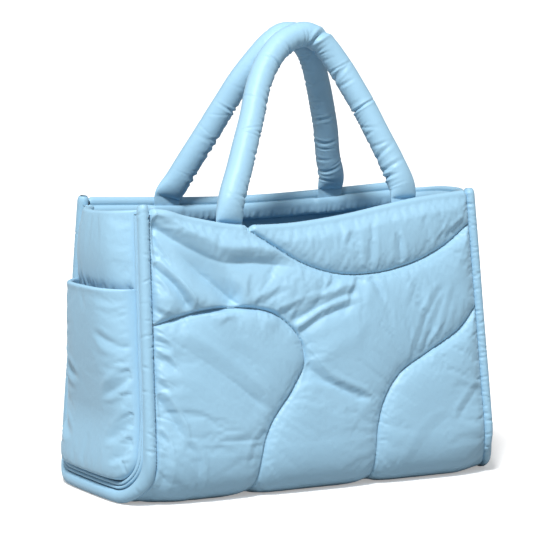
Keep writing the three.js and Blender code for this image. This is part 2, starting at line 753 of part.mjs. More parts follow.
// A hem band's section: flat where it is sewn on, rounded over at the top, thin at its lower edge.
function hemSection(low, high, near, far) {
  return [
    [low, near],
    [high, near],
    [high - 0.12 * HEM_HEIGHT, far + 0.15 * HEM_THICKNESS],
    [(high + low) / 2, far],
    [low, far + 0.5 * HEM_THICKNESS],
  ];
}

// The hem band inside the front or back wall, just below its rim.
function wallHem(side, rim) {
  const rings = [];
  for (let i = 0; i <= HEM_COLUMNS; i += 1) {
    const across = -1 + (2 * i) / HEM_COLUMNS;
    const top = rimAlong(rim, across);
    const point = (s, h) => {
      const at = outline(s);
      const x = across * (halfWidth(at.z) - 2 * FIT_GAP);
      const out = h + bow(x / (halfWidth(at.z) - FIT_GAP), s, top);
      return new THREE.Vector3(x, side * (at.y + out * at.outY), at.z + out * at.outZ);
    };
    const high = top - HEM_DROP;
    const low = high - HEM_HEIGHT;
    const near = -WALL_INNER - FIT_GAP;
    const far = near - HEM_THICKNESS;
    rings.push(hemSection(low, high, near, far).map(([along, out]) => point(along, out)));
  }
  return loft(rings, flatCap("y", "z"));
}

// The hem band inside a gusset; it stops short of the other two bands.
function endHem(end) {
  const rings = [];
  for (let i = 0; i <= END_COLUMNS; i += 1) {
    const share = Math.sin((Math.PI / 2) * (-1 + (2 * i) / END_COLUMNS));
    const high = endRimHeight(share) - HEM_DROP;
    const low = high - HEM_HEIGHT;
    const point = (z, out) => {
      const y = share * halfDepth(z, BINDING_INSET);
      return new THREE.Vector3(end * (halfWidth(z) + endBow(y, z) + out), y, z);
    };
    const near = GUSSET_INNER - FIT_GAP;
    const far = near - HEM_THICKNESS;
    rings.push(hemSection(low, high, near, far).map(([along, out]) => point(along, out)));
  }
  return loft(rings, flatCap("x", "z"));
}

// A handle's centre line, from one flat tab under the hem band over the top to the other.
function handleRoute({ side, rim, shift, spread, route }) {
  const tabOut = -WALL_INNER - FIT_GAP - TAB_THICKNESS / 2 - FIT_GAP / 2;
  const meet = HANDLE_RADIUS + HANDLE_LEAN / 2;
  const foot = (direction) => {
    const x = shift + (direction * spread) / 2;
    const edge = halfWidth(BAG_HEIGHT);
    const top = rimAlong(rim, x / edge);
    const at = (s) => {
      const p = outline(s);
      const out = tabOut + bow(x / edge, Math.min(s, top), top);
      return new THREE.Vector3(x, side * (p.y + out * p.outY), p.z + out * p.outZ);
    };
    return { top, at };
  };
  const right = foot(1);
  const left = foot(-1);
  const apexZ = BAG_HEIGHT + HANDLE_RISE;
  const middle = route.map(({ across, up, inward }) => {
    const from = across > 0 ? right : left;
    const base = from.at(from.top);
    const x = shift + (across * spread) / 2;
    const y = THREE.MathUtils.lerp(base.y, side * meet, inward);
    return new THREE.Vector3(x, y, THREE.MathUtils.lerp(base.z, apexZ, up));
  });
  return { right, left, middle };
}

// Flat tab, round tube, flat tab. grow widens every section, for the room that the hem band leaves.
function handle(plan, grow = 0) {
  const { right, left, middle } = handleRoute(plan);
  const feet = [-TAB_DEPTH, 0, TAB_RISE];
  const route = [
    ...feet.map((rise) => right.at(right.top + rise)),
    ...middle,
    ...feet.map((rise) => left.at(left.top + rise)).reverse(),
  ];
  const curve = new THREE.CatmullRomCurve3(route, false, "centripetal");
  curve.arcLengthDivisions = 600;
  const length = curve.getLength();
  const tabEnd = TAB_DEPTH + TAB_RISE;
  const stations = [0, TAB_DEPTH / 2, TAB_DEPTH, tabEnd];
  for (const share of [0.12, 0.3, 0.6]) {
    stations.push(tabEnd + share * SWELL);
  }
  const nearEnd = stations.map((d) => length - d).reverse();
  const from = tabEnd + SWELL;
  for (let k = 0; k <= HANDLE_STEPS; k += 1) {
    stations.push(from + ((length - 2 * from) * k) / HANDLE_STEPS);
  }
  stations.push(...nearEnd);
  const rings = stations.map((d) => {
    const u = d / length;
    const centre = curve.getPointAt(u);
    const ahead = curve.getTangentAt(u);
    const acrossTube = new THREE.Vector3(0, 1, 0).cross(ahead).normalize();
    const through = new THREE.Vector3().crossVectors(ahead, acrossTube).normalize();
    const toEnd = Math.min(d, length - d);
    const round = puff(Math.max(toEnd - tabEnd, 0), SWELL);
    const crease = HANDLE_CREASES.reduce((sum, c) => {
      const away = (d - c.at * length) / CREASE_WIDTH;
      return sum + c.depth * Math.exp(-away * away);
    }, 0);
    const wide = THREE.MathUtils.lerp(TAB_WIDTH / 2, HANDLE_RADIUS * (1 - crease), round) + grow;
    const thick = THREE.MathUtils.lerp(TAB_THICKNESS / 2, HANDLE_RADIUS * (1 - 0.6 * crease), round) + grow;
    const ring = [];
    for (let k = 0; k < HANDLE_SIDES; k += 1) {
      const angle = ((k + 0.5) * 2 * Math.PI) / HANDLE_SIDES;
      const p = centre.clone();
      p.addScaledVector(acrossTube, wide * Math.cos(angle));
      p.addScaledVector(through, thick * Math.sin(angle));
      ring.push(p);
    }
    return ring;
  });
  return loft(rings, flatCap("x", "y"));
}

// manifold-3d cuts one closed geometry out of another.
function toManifold(geometry) {
  const bare = geometry.clone();
  bare.deleteAttribute("normal");
  bare.deleteAttribute("uv");
  const merged = mergeVertices(bare, 1e-4);
  return new wasm.Manifold(
    new wasm.Mesh({
      numProp: 3,
      vertProperties: merged.attributes.position.array,
      triVerts: new Uint32Array(merged.index.array),
    }),
  );
}

function cut(geometry, ...tools) {
  const solid = tools.reduce((left, tool) => left.subtract(toManifold(tool)), toManifold(geometry));
  const made = solid.getMesh();
  const result = new THREE.BufferGeometry();
  result.setAttribute("position", new THREE.BufferAttribute(made.vertProperties, 3));
  result.setIndex(new THREE.BufferAttribute(made.triVerts, 1));
  return result;
}

const cloth = new THREE.MeshStandardMaterial({ color: CLOTH, roughness: CLOTH_ROUGHNESS, metalness: 0 });

function piece(name, geometry) {
  const mesh = new THREE.Mesh(geometry, cloth);
  mesh.name = name;
  return mesh;
}

const bag = new THREE.Group();
const frontWall = wall({
  side: -1,
  columns: WALL_COLUMNS,
  rows: WALL_ROWS,
  seams: FRONT_SEAMS,
  folds: FRONT_FOLDS,
  rim: FRONT_RIM,
});
const backWall = wall({
  side: 1,
  columns: BACK_COLUMNS,
  rows: BACK_ROWS,
  seams: BACK_SEAMS,
  folds: [],
  rim: BACK_RIM,
});
bag.add(piece("front_panel", frontWall), piece("back_panel", backWall), piece("base_panel", basePanel()));
for (const [word, end] of [["left", -1], ["right", 1]]) {
  bag.add(
    piece(word + "_gusset", gusset(end)),
    piece(word + "_pocket", pocket(end)),
    piece(word + "_edge_roll", edgeRoll(end)),
    piece(word + "_edge_binding", edgeBinding(end)),
    piece(word + "_hem_band", endHem(end)),
  );
}
const handles = [
  { word: "front", side: -1, rim: FRONT_RIM, shift: FRONT_SHIFT, spread: FRONT_SPREAD, route: FRONT_ROUTE },
  { word: "back", side: 1, rim: BACK_RIM, shift: BACK_SHIFT, spread: BACK_SPREAD, route: BACK_ROUTE },
];
for (const plan of handles) {
  bag.add(
    piece(plan.word + "_handle", handle(plan)),
    piece(plan.word + "_hem_band", cut(wallHem(plan.side, plan.rim), handle(plan, FIT_GAP))),
  );
}

export default bag;
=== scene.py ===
"""The looks of a padded tote bag: quilted nylon walls, stuffed rolls and handles, slip pockets and stitching.

Shapes are worked out in millimetres on the same outline as the frame's solids, and meshes are made in metres.
"""

import math

import bpy
import numpy as np
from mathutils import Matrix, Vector


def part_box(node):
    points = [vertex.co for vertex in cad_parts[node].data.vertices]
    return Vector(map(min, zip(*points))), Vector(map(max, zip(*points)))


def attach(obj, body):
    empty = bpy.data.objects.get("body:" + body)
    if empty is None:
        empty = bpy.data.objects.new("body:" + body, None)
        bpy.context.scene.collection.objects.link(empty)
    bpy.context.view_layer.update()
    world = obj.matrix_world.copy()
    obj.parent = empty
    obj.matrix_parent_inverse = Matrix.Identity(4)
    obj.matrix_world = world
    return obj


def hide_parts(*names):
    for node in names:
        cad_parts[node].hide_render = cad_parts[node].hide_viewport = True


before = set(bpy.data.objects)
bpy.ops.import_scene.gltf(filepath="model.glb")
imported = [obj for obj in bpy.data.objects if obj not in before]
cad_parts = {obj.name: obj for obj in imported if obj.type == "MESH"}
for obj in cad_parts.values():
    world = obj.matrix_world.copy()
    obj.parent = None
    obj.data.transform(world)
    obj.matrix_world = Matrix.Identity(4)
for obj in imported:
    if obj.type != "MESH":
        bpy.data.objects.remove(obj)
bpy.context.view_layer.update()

MM = 0.001
RNG_SEED = 11

# Camera: the photograph's view, as a place on a sphere round a target on the bag.
PHOTO_PIXELS = 550
FOCAL_PIXELS = 2500
SENSOR_MM = 36.0
CAMERA_AZIMUTH = math.radians(-28.66)
CAMERA_ELEVATION = math.radians(6.0)
CAMERA_DISTANCE = 2.548
CAMERA_TARGET = Vector((-0.0067, -0.0055, 0.2077))

# Sizes in millimetres, as the frame's solids have them.
FIT_GAP = 0.3
BAG_WIDTH = 376.0
BASE_WIDTH = 2 * (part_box("base_panel")[1].y / MM + FIT_GAP / 2)
FOOT_BOW = 17.0
FOOT_BOW_HEIGHT = 90.0
MOUTH_WIDTH = 361.0
BAG_DEPTH = 194.0
MOUTH_DEPTH = 138.0
BAG_HEIGHT = 287.0
FOOT_RADIUS = 40.0
WALL_INNER = 3.5
SEAM_LEVEL = 1.5
PUFF_HEIGHT = 10.0
RIM_PUFF = 6.0
WALL_BOW = 7.0
BASE_PUFF = 5.0
ROLL_RADIUS = 6.5
ROLL_FLATNESS = 0.88
BINDING_WIDTH = 8.0
BINDING_GAP = 0.7
BINDING_RISE = 4.4
GUSSET_THICKNESS = 3.2
GUSSET_PUFF = 9.0
END_BOW = 17.0
GUSSET_INNER = 0.1
GUSSET_RIM = 3.0
POCKET_HEIGHT = 206.0
POCKET_THICKNESS = 6.0
POCKET_ROOM = 8.0
POCKET_EDGE = 2.4
POCKET_GAP = 1.5
POCKET_LOW = 0.45
POCKET_RIM = 2.5
END_REACH = 32.0
HEM_HEIGHT = 17.0
HEM_THICKNESS = 6.0
HEM_DROP = 2.0
HANDLE_RADIUS = 12.6
HANDLE_GAP = 1.5
HANDLE_RISE = 165.0
TAB_WIDTH = 29.0
TAB_THICKNESS = 2.8
TAB_DEPTH = 15.0
TAB_RISE = 7.0
SWELL = 30.0
FOOT_FLARE = 2.4

SEAM_FLOOR = ROLL_RADIUS + FIT_GAP
GUSSET_INSET = ROLL_RADIUS + FIT_GAP
BINDING_INSET = GUSSET_INSET + BINDING_WIDTH + 2 * FIT_GAP
WALL_START = BASE_WIDTH / 2 + FIT_GAP / 2

# Quilting lines: across is a share of the half width, up a share of the bag's height.
FRONT_SEAMS = [
    [(-1.0, 0.607), (-0.75, 0.643), (-0.5, 0.65), (-0.3, 0.622), (-0.165, 0.545), (-0.13, 0.455),
     (-0.21, 0.36), (-0.345, 0.24), (-0.405, 0.12), (-0.415, 0.0)],
    [(-0.51, 0.95), (-0.29, 0.86), (-0.09, 0.785), (0.12, 0.745), (0.36, 0.742), (0.61, 0.772),
     (0.82, 0.826), (1.0, 0.9)],
    [(1.0, 0.605), (0.87, 0.525), (0.64, 0.449), (0.46, 0.386), (0.355, 0.295), (0.31, 0.2),
     (0.285, 0.1), (0.28, 0.0)],
]
BACK_SEAMS = [
    [(-1.0, 0.7), (-0.4, 0.6), (0.3, 0.74), (1.0, 0.66)],
    [(-1.0, 0.34), (-0.3, 0.26), (0.4, 0.4), (1.0, 0.3)],
]

# Folds: a path of places (across, up), its rise (below 0 for a valley), how far its flanks reach to the left and
# to the right of the way the path runs, and how fast it fades in and out, all but the places in mm.
FOLD_COLUMNS = ("path", "rise", "left", "right", "fade")
FRONT_FOLDS = [
    ([(-1.01, 0.95), (-0.82, 0.872), (-0.6, 0.806), (-0.42, 0.8), (-0.12, 0.772)], -9.0, 9, 30, (3, 40)),
    ([(-0.88, 0.868), (-0.69, 0.755), (-0.5, 0.655)], -8.0, 13, 13, (45, 12)),
    ([(-0.68, 0.765), (-0.57, 0.695), (-0.47, 0.645)], -2.5, 9, 10, (30, 12)),
    ([(-1.0, 0.812), (-0.88, 0.732), (-0.79, 0.645)], -5.2, 4.5, 12, (2, 12)),
    ([(-1.0, 0.905), (-0.96, 0.865), (-0.9, 0.79)], -1.8, 2.7, 7.6, (2, 14)),
    ([(-1.0, 0.86), (-0.97, 0.83), (-0.93, 0.78)], -1.5, 2.5, 5.7, (2, 9)),
    ([(-1.0, 0.765), (-0.96, 0.73), (-0.92, 0.69)], -1.7, 2.7, 7.6, (2, 12)),
    ([(-1.0, 0.665), (-0.96, 0.645), (-0.9, 0.632)], -1.3, 2.7, 5.7, (2, 8)),
    ([(-0.44, 0.652), (-0.33, 0.675), (-0.2, 0.71)], -1.8, 4.5, 13.3, (10, 16)),
    ([(-0.3, 0.612), (-0.18, 0.637), (0.03, 0.668)], -2.4, 4.5, 15.2, (8, 18)),
    ([(-0.165, 0.546), (-0.01, 0.6), (0.26, 0.65)], -4.6, 5, 19, (4, 30)),
    ([(-0.22, 0.59), (0.01, 0.648), (0.23, 0.69)], -3.4, 5.4, 13.3, (10, 16)),
    ([(0.235, 0.735), (0.19, 0.685), (0.14, 0.635)], -2.2, 9.5, 3.6, (3, 14)),
    ([(0.09, 0.74), (0.05, 0.715), (0.0, 0.69)], -1.4, 5.7, 2.7, (2, 10)),
    ([(0.15, 0.83), (0.19, 0.87), (0.22, 0.895)], -1.6, 3.6, 9.5, (8, 8)),
    ([(0.33, 0.925), (0.32, 0.84), (0.31, 0.75)], -1.0, 4, 6, (12, 6)),
    ([(0.5, 0.88), (0.5, 0.83), (0.51, 0.77)], -1.4, 4, 6, (12, 4)),
    ([(0.8, 0.845), (0.88, 0.878), (0.96, 0.915)], -1.7, 3.6, 11.4, (8, 6)),
    ([(0.74, 0.83), (0.79, 0.86), (0.86, 0.9)], -1.1, 2.7, 9.5, (8, 10)),
    ([(0.53, 0.42), (0.64, 0.58), (0.78, 0.7)], -1.6, 5.4, 13.3, (14, 18)),
    ([(0.6, 0.44), (0.69, 0.56), (0.78, 0.66)], -1.3, 4.5, 9.5, (10, 16)),
    ([(0.72, 0.49), (0.79, 0.6), (0.85, 0.7)], -1.2, 4.5, 11.4, (8, 20)),
    ([(0.66, 0.46), (0.71, 0.51), (0.77, 0.56)], -1.0, 2.7, 7.6, (3, 12)),
    ([(0.5, 0.6), (0.56, 0.66), (0.6, 0.72)], -1.0, 4.5, 11.4, (12, 14)),
    ([(0.31, 0.735), (0.34, 0.69), (0.37, 0.63)], -1.3, 4, 5, (3, 14)),
    ([(-0.135, 0.445), (-0.01, 0.378), (0.25, 0.3)], -2.8, 5.4, 17.1, (4, 14)),
    ([(-0.1, 0.37), (-0.01, 0.3), (0.08, 0.24)], -1.4, 7.2, 15.2, (14, 18)),
    ([(0.78, 0.2), (0.87, 0.26), (0.98, 0.325)], -1.9, 5.4, 15.2, (14, 6)),
    ([(0.42, 0.1), (0.6, 0.17), (0.78, 0.24)], -0.9, 7.2, 22.8, (24, 24)),
    ([(-0.94, 0.565), (-0.66, 0.445), (-0.36, 0.29)], -3.0, 9, 22.8, (22, 20)),
    ([(-0.62, 0.53), (-0.5, 0.485), (-0.36, 0.42)], -1.0, 7.2, 19, (18, 22)),
    ([(-1.0, 0.565), (-0.95, 0.545), (-0.9, 0.51)], -1.7, 2.7, 7.6, (2, 12)),
    ([(-1.0, 0.515), (-0.93, 0.48), (-0.86, 0.43)], -2.4, 3.1, 9.5, (2, 18)),
    ([(-1.0, 0.42), (-0.97, 0.41), (-0.93, 0.375)], -1.8, 2.7, 7.6, (2, 9)),
    ([(-1.0, 0.382), (-0.92, 0.3), (-0.84, 0.2)], -4.8, 4.5, 19, (3, 22)),
    ([(-0.87, 0.225), (-0.79, 0.165), (-0.74, 0.09)], -2.4, 4.5, 13.3, (12, 20)),
    ([(-1.0, 0.262), (-0.96, 0.225), (-0.935, 0.165)], -2.2, 2.7, 9.5, (2, 14)),
    ([(-0.97, 0.2), (-0.955, 0.14), (-0.955, 0.06)], -1.8, 5, 5, (12, 18)),
    ([(-0.74, 0.15), (-0.725, 0.09), (-0.745, 0.03)], -1.2, 5, 5, (14, 14)),
    ([(-0.49, 0.14), (-0.43, 0.19), (-0.375, 0.235)], -1.4, 4.5, 9.5, (14, 6)),
    ([(-0.88, 0.42), (-0.72, 0.33), (-0.6, 0.25)], -1.0, 8.1, 19, (24, 26)),
]
BACK_FOLDS = [
    ([(-1.0, 0.6), (-0.8, 0.52), (-0.55, 0.47)], -2.6, 8, 6, (4, 26)),
    ([(1.0, 0.56), (0.8, 0.5), (0.6, 0.4)], -2.4, 7, 7, (4, 26)),
    ([(-0.4, 0.6), (-0.25, 0.52), (-0.05, 0.48)], -1.8, 6, 6, (5, 24)),
    ([(0.3, 0.74), (0.2, 0.83), (0.14, 0.93)], -1.6, 6, 6, (5, 20)),
    ([(-1.0, 0.22), (-0.85, 0.15), (-0.7, 0.1)], -2.2, 6, 6, (4, 20)),
    ([(1.0, 0.22), (0.86, 0.14), (0.72, 0.08)], -2.2, 6, 6, (4, 20)),
    ([(-1.0, 0.9), (-0.85, 0.83), (-0.7, 0.79)], -2.0, 6, 6, (4, 20)),
]

# A slip pocket's folds, with each place as a share of the half depth and a height in mm.
POCKET_FOLDS = [
    ([(-1.0, 152), (-0.72, 157), (-0.35, 168)], -1.7, 5, 6, (2, 20)),
    ([(-1.0, 128), (-0.76, 113), (-0.4, 100)], -2.8, 7, 5, (2, 24)),
    ([(-1.0, 88), (-0.74, 68), (-0.45, 58)], -2.6, 7, 5, (2, 22)),
    ([(-1.0, 62), (-0.8, 46), (-0.62, 40)], -2.2, 6, 4, (2, 16)),
    ([(1.0, 142), (0.65, 122), (0.2, 112)], -2.2, 6, 7, (2, 24)),
    ([(1.0, 82), (0.72, 60), (0.4, 54)], -2.4, 6, 7, (2, 20)),
]

# How far a rim hangs below the bag's corners, as a share of the height.
FRONT_RIM = [(-1.0, 0.02), (-0.78, 0.05), (-0.5, 0.084), (-0.28, 0.091), (-0.08, 0.086), (0.2, 0.066),
             (0.42, 0.043), (0.68, 0.018), (1.0, 0.0)]
BACK_RIM = [(-1.0, 0.014), (0.0, 0.03), (1.0, 0.0)]
END_RIM = {
    -1: [(-1.0, 0.02), (0.1, 0.032), (1.0, 0.03)],
    1: [(-1.0, -0.005), (0.1, -0.004), (1.0, 0.012)],
}
ROLL_OVER = {-1: 3.5, 1: 7.0}
GUSSET_FILL = [(0.0, 0.3), (0.6, 0.25), (0.7, 0.3), (0.76, 0.75), (0.86, 1.0), (1.0, 0.55)]

# A handle's centre line: across is a share of half the spread, up a share of the way from the rim to the top,
# inward a share of the way to the other handle.
HANDLES = {
    "front": {
        "side": -1, "rim": FRONT_RIM, "spread": 201.0, "shift": 9.0, "bend": 33.0,
        "route": [(1.0, 0.11, 0.07), (0.925, 0.25, 0.22), (0.8, 0.436, 0.42), (0.66, 0.63, 0.64),
                  (0.5, 0.815, 0.86), (0.34, 0.945, 0.97), (0.155, 1.0, 1.0), (-0.08, 0.966, 0.98),
                  (-0.255, 0.889, 0.92), (-0.39, 0.8, 0.82), (-0.495, 0.695, 0.7), (-0.585, 0.58, 0.56),
                  (-0.7, 0.44, 0.41), (-0.82, 0.3, 0.26), (-0.96, 0.14, 0.08)],
    },
    "back": {
        "side": 1, "rim": BACK_RIM, "spread": 192.0, "shift": 2.0, "bend": 20.0,
        "route": [(1.0, 0.11, 0.07), (0.917, 0.24, 0.2), (0.812, 0.432, 0.42), (0.677, 0.627, 0.64),
                  (0.52, 0.822, 0.86), (0.406, 0.917, 0.95), (0.26, 0.99, 1.0), (0.115, 0.995, 1.0),
                  (-0.036, 0.94, 0.97), (-0.177, 0.852, 0.88), (-0.333, 0.728, 0.74), (-0.464, 0.592, 0.58),
                  (-0.583, 0.46, 0.43), (-0.73, 0.31, 0.27), (-0.9, 0.13, 0.08)],
    },
}


def make_camera():
    back = Vector((
        math.sin(CAMERA_AZIMUTH) * math.cos(CAMERA_ELEVATION),
        -math.cos(CAMERA_AZIMUTH) * math.cos(CAMERA_ELEVATION),
        math.sin(CAMERA_ELEVATION),
    ))
    data = bpy.data.cameras.new("photo_camera")
    data.sensor_width = SENSOR_MM
    data.lens = SENSOR_MM * FOCAL_PIXELS / PHOTO_PIXELS
    data.clip_end = 50
    camera = bpy.data.objects.new("photo_camera", data)
    camera.location = CAMERA_TARGET + back * CAMERA_DISTANCE
    camera.rotation_euler = (-back).to_track_quat("-Z", "Y").to_euler()
    bpy.context.scene.collection.objects.link(camera)
    bpy.context.scene.camera = camera


# Curves and tables.

def fold_rows(rows):
    return [dict(zip(FOLD_COLUMNS, row)) for row in rows]


def read_table(table, x):
    """The table as a smooth curve: the value of the second column where the first is x."""
    at, give = np.array(table, float).T
    last = len(at) - 1
    x = np.clip(x, at[0], at[-1])
    i = np.clip(np.searchsorted(at, x, side="right") - 1, 0, last - 1)
    low, high = np.maximum(np.arange(last + 1) - 1, 0), np.minimum(np.arange(last + 1) + 1, last)
    slope = (give[high] - give[low]) / (at[high] - at[low])
    span = at[i + 1] - at[i]
    t = (x - at[i]) / span
    return (
        (2 * t**3 - 3 * t**2 + 1) * give[i]
        + (t**3 - 2 * t**2 + t) * span * slope[i]
        + (3 * t**2 - 2 * t**3) * give[i + 1]
        + (t**3 - t**2) * span * slope[i + 1]
    )


def smoothstep(x, low, high):
    t = np.clip((x - low) / (high - low), 0, 1)
    return t * t * (3 - 2 * t)


def mix(a, b, t):
    return a + (b - a) * t


def puff(distance, reach):
    """A filling's rise at a distance from what holds it down: a quarter of a round."""
    t = np.clip(distance / reach, 0, 1)
    return np.sqrt(1 - (1 - t) ** 2)


def smooth_curve(points, per_span=12):
    """A centripetal Catmull-Rom curve through some points."""
    p = np.array(points, float)
    p = np.vstack([2 * p[0] - p[1], p, 2 * p[-1] - p[-2]])
    knots = np.concatenate([[0], np.cumsum(np.linalg.norm(np.diff(p, axis=0), axis=1) ** 0.5)])
    found = []
    for i in range(1, len(p) - 2):
        t0, t1, t2, t3 = knots[i - 1:i + 3]
        t = np.linspace(t1, t2, per_span, endpoint=False)[:, None]
        a1 = (t1 - t) / (t1 - t0) * p[i - 1] + (t - t0) / (t1 - t0) * p[i]
        a2 = (t2 - t) / (t2 - t1) * p[i] + (t - t1) / (t2 - t1) * p[i + 1]
        a3 = (t3 - t) / (t3 - t2) * p[i + 1] + (t - t2) / (t3 - t2) * p[i + 2]
        b1 = (t2 - t) / (t2 - t0) * a1 + (t - t0) / (t2 - t0) * a2
        b2 = (t3 - t) / (t3 - t1) * a2 + (t - t1) / (t3 - t1) * a3
        found.append((t2 - t) / (t2 - t1) * b1 + (t - t1) / (t2 - t1) * b2)
    found.append(p[-2][None, :])
    return np.vstack(found)


def length_along(line):
    return np.concatenate([[0], np.cumsum(np.linalg.norm(np.diff(line, axis=0), axis=1))])


def even_points(line, step):
    """The line again, with its points about a step apart."""
    along = length_along(line)
    count = max(2, int(round(along[-1] / step)) + 1)
    at = np.linspace(0, along[-1], count)
    return np.stack([np.interp(at, along, line[:, k]) for k in range(line.shape[1])], axis=1)


# The bag's side outline, by distance along it from the middle of the base: floor, round foot, leaning wall.
FOOT_Y = BAG_DEPTH / 2 - FOOT_RADIUS
FOOT_Z = SEAM_FLOOR + FOOT_RADIUS
LEAN = (
    math.atan2(FOOT_Y - MOUTH_DEPTH / 2, BAG_HEIGHT - FOOT_Z)
    + math.asin(FOOT_RADIUS / math.hypot(FOOT_Y - MOUTH_DEPTH / 2, BAG_HEIGHT - FOOT_Z))
)
ARC_START = FOOT_Y
ARC_END = ARC_START + FOOT_RADIUS * (math.pi / 2 + LEAN)
WALL_FOOT_Z = FOOT_Z + FOOT_RADIUS * math.sin(LEAN)
WALL_FOOT_Y = FOOT_Y + FOOT_RADIUS * math.cos(LEAN)
OUTLINE_LENGTH = ARC_END + (BAG_HEIGHT - WALL_FOOT_Z) / math.cos(LEAN)


def outline(s):
    """Where the outline is at a distance s, and which way faces out there: y, z, out_y, out_z."""
    s = np.asarray(s, float)
    turn = np.clip((s - ARC_START) / FOOT_RADIUS, 0, math.pi / 2 + LEAN)
    rise = np.maximum(s - ARC_END, 0)
    out_y, out_z = np.sin(turn), -np.cos(turn)
    y = np.minimum(s, ARC_START) + FOOT_RADIUS * out_y - rise * math.sin(LEAN)
    z = FOOT_Z + FOOT_RADIUS * out_z + rise * math.cos(LEAN)
    return y, z, out_y, out_z


def along_at_up(up):
    z = np.asarray(up, float) * BAG_HEIGHT
    on_wall = ARC_END + (z - WALL_FOOT_Z) / math.cos(LEAN)
    under = BASE_WIDTH / 2 + z * (ARC_END - BASE_WIDTH / 2) / WALL_FOOT_Z
    return np.where(z >= WALL_FOOT_Z, on_wall, under)


def half_depth(z, inset):
    radius = FOOT_RADIUS - inset
    below = np.clip(FOOT_Z - z, -radius, radius)
    on_wall = WALL_FOOT_Y - (z - WALL_FOOT_Z) * math.tan(LEAN) - inset / math.cos(LEAN)
    return np.where(z >= FOOT_Z + radius * math.sin(LEAN), on_wall, FOOT_Y + np.sqrt(radius**2 - below**2))


def half_width(z):
    return mix(BAG_WIDTH, MOUTH_WIDTH, (z - SEAM_FLOOR) / (BAG_HEIGHT - SEAM_FLOOR)) / 2


def foot_bow(y, z):
    """How much further out an end stands at a place near the floor."""
    share = np.minimum(np.abs(y) / (BAG_DEPTH / 2), 1)
    return FOOT_BOW * (1 - share**4) * (1 - smoothstep(z, SEAM_FLOOR, FOOT_BOW_HEIGHT))


def wall_edge(s):
    y, z = outline(s)[:2]
    return half_width(z) + foot_bow(y, z) - FIT_GAP


def rim_along(rim, across):
    return OUTLINE_LENGTH - read_table(rim, across) * BAG_HEIGHT / math.cos(LEAN)


def flat_place(across, up):
    """A place on a wall, laid flat: across and along in mm."""
    along = along_at_up(up)
    return np.stack([across * (wall_edge(along) + FIT_GAP), along], axis=-1)


def flat_line(table):
    rows = np.array(table, float)
    return smooth_curve(flat_place(rows[:, 0], rows[:, 1]))


def wall_place(side, rim, x, s, h):
    """The place in space of a point of a wall at a height h outside the outline."""
    y, z, out_y, out_z = outline(s)
    share = x / wall_edge(s)
    top = rim_along(rim, share)
    up = np.clip((s - ARC_END) / (top - ARC_END), 0, 1)
    bow = WALL_BOW * (1 - np.minimum(share**2, 1)) * np.sin(math.pi * (0.08 + 0.84 * up))
    out = h + bow * smoothstep(s, ARC_START, ARC_END)
    return np.stack([x, side * (y + out * out_y), z + out * out_z], axis=-1)


# Cloth forms on a flat sheet.

FLANK_SHARPNESS = 5.0
FOLD_SWELL = 0.36
PUCKER_SWELL = 0.1
SWELL_PLACE = 1.6
SWELL_WIDTH = 0.6
NARROW_END = 0.55


def nearest(lines, x, y):
    """How far each point is from the nearest of some lines, and that line's nearest place."""
    best = np.full(x.shape, 1e9)
    at_x, at_y = x.copy(), y.copy()
    for line in lines:
        for a, b in zip(line[:-1], line[1:]):
            d = b - a
            t = np.clip(((x - a[0]) * d[0] + (y - a[1]) * d[1]) / max(d @ d, 1e-9), 0, 1)
            px, py = a[0] + t * d[0], a[1] + t * d[1]
            distance = np.hypot(x - px, y - py)
            closer = distance < best
            best = np.where(closer, distance, best)
            at_x, at_y = np.where(closer, px, at_x), np.where(closer, py, at_y)
    return best, at_x, at_y


def fold_rise(fold, line, x, y):
    """A fold's height on a sheet: a crisp crease, two nearly flat flanks, and a low swell beyond them."""
    reach = 5 * max(fold["left"], fold["right"])
    low, high = line.min(0) - reach, line.max(0) + reach
    near = (x > low[0]) & (x < high[0]) & (y > low[1]) & (y < high[1])
    px, py = x[near], y[near]
    best = np.full(px.shape, 1e9)
    along, side = np.zeros(px.shape), np.zeros(px.shape)
    marks = length_along(line)
    for a, b, start in zip(line[:-1], line[1:], marks[:-1]):
        d = b - a
        length = np.linalg.norm(d)
        t = np.clip(((px - a[0]) * d[0] + (py - a[1]) * d[1]) / length**2, 0, 1)
        away = np.hypot(px - a[0] - t * d[0], py - a[1] - t * d[1])
        closer = away < best
        best = np.where(closer, away, best)
        along = np.where(closer, start + t * length, along)
        side = np.where(closer, np.sign(d[0] * (py - a[1]) - d[1] * (px - a[0])), side)
    fade_in, fade_out = fold["fade"]
    strength = smoothstep(along, 0, fade_in) * smoothstep(marks[-1] - along, 0, fade_out)
    width = np.where(side > 0, fold["left"], fold["right"]) * mix(NARROW_END, 1, strength)
    past = (np.hypot(best, 0.5) - 0.5) / width
    flank = np.log1p(np.exp(FLANK_SHARPNESS * (1 - past))) / math.log1p(math.exp(FLANK_SHARPNESS))
    flank = flank - fold.get("swell", FOLD_SWELL) * np.exp(-((past - SWELL_PLACE) / SWELL_WIDTH) ** 2)
    ends = np.where((along <= 0) | (along >= marks[-1]), 0, 1)
    found = np.zeros(x.shape)
    found[near] = fold["rise"] * strength * flank * ends
    return found


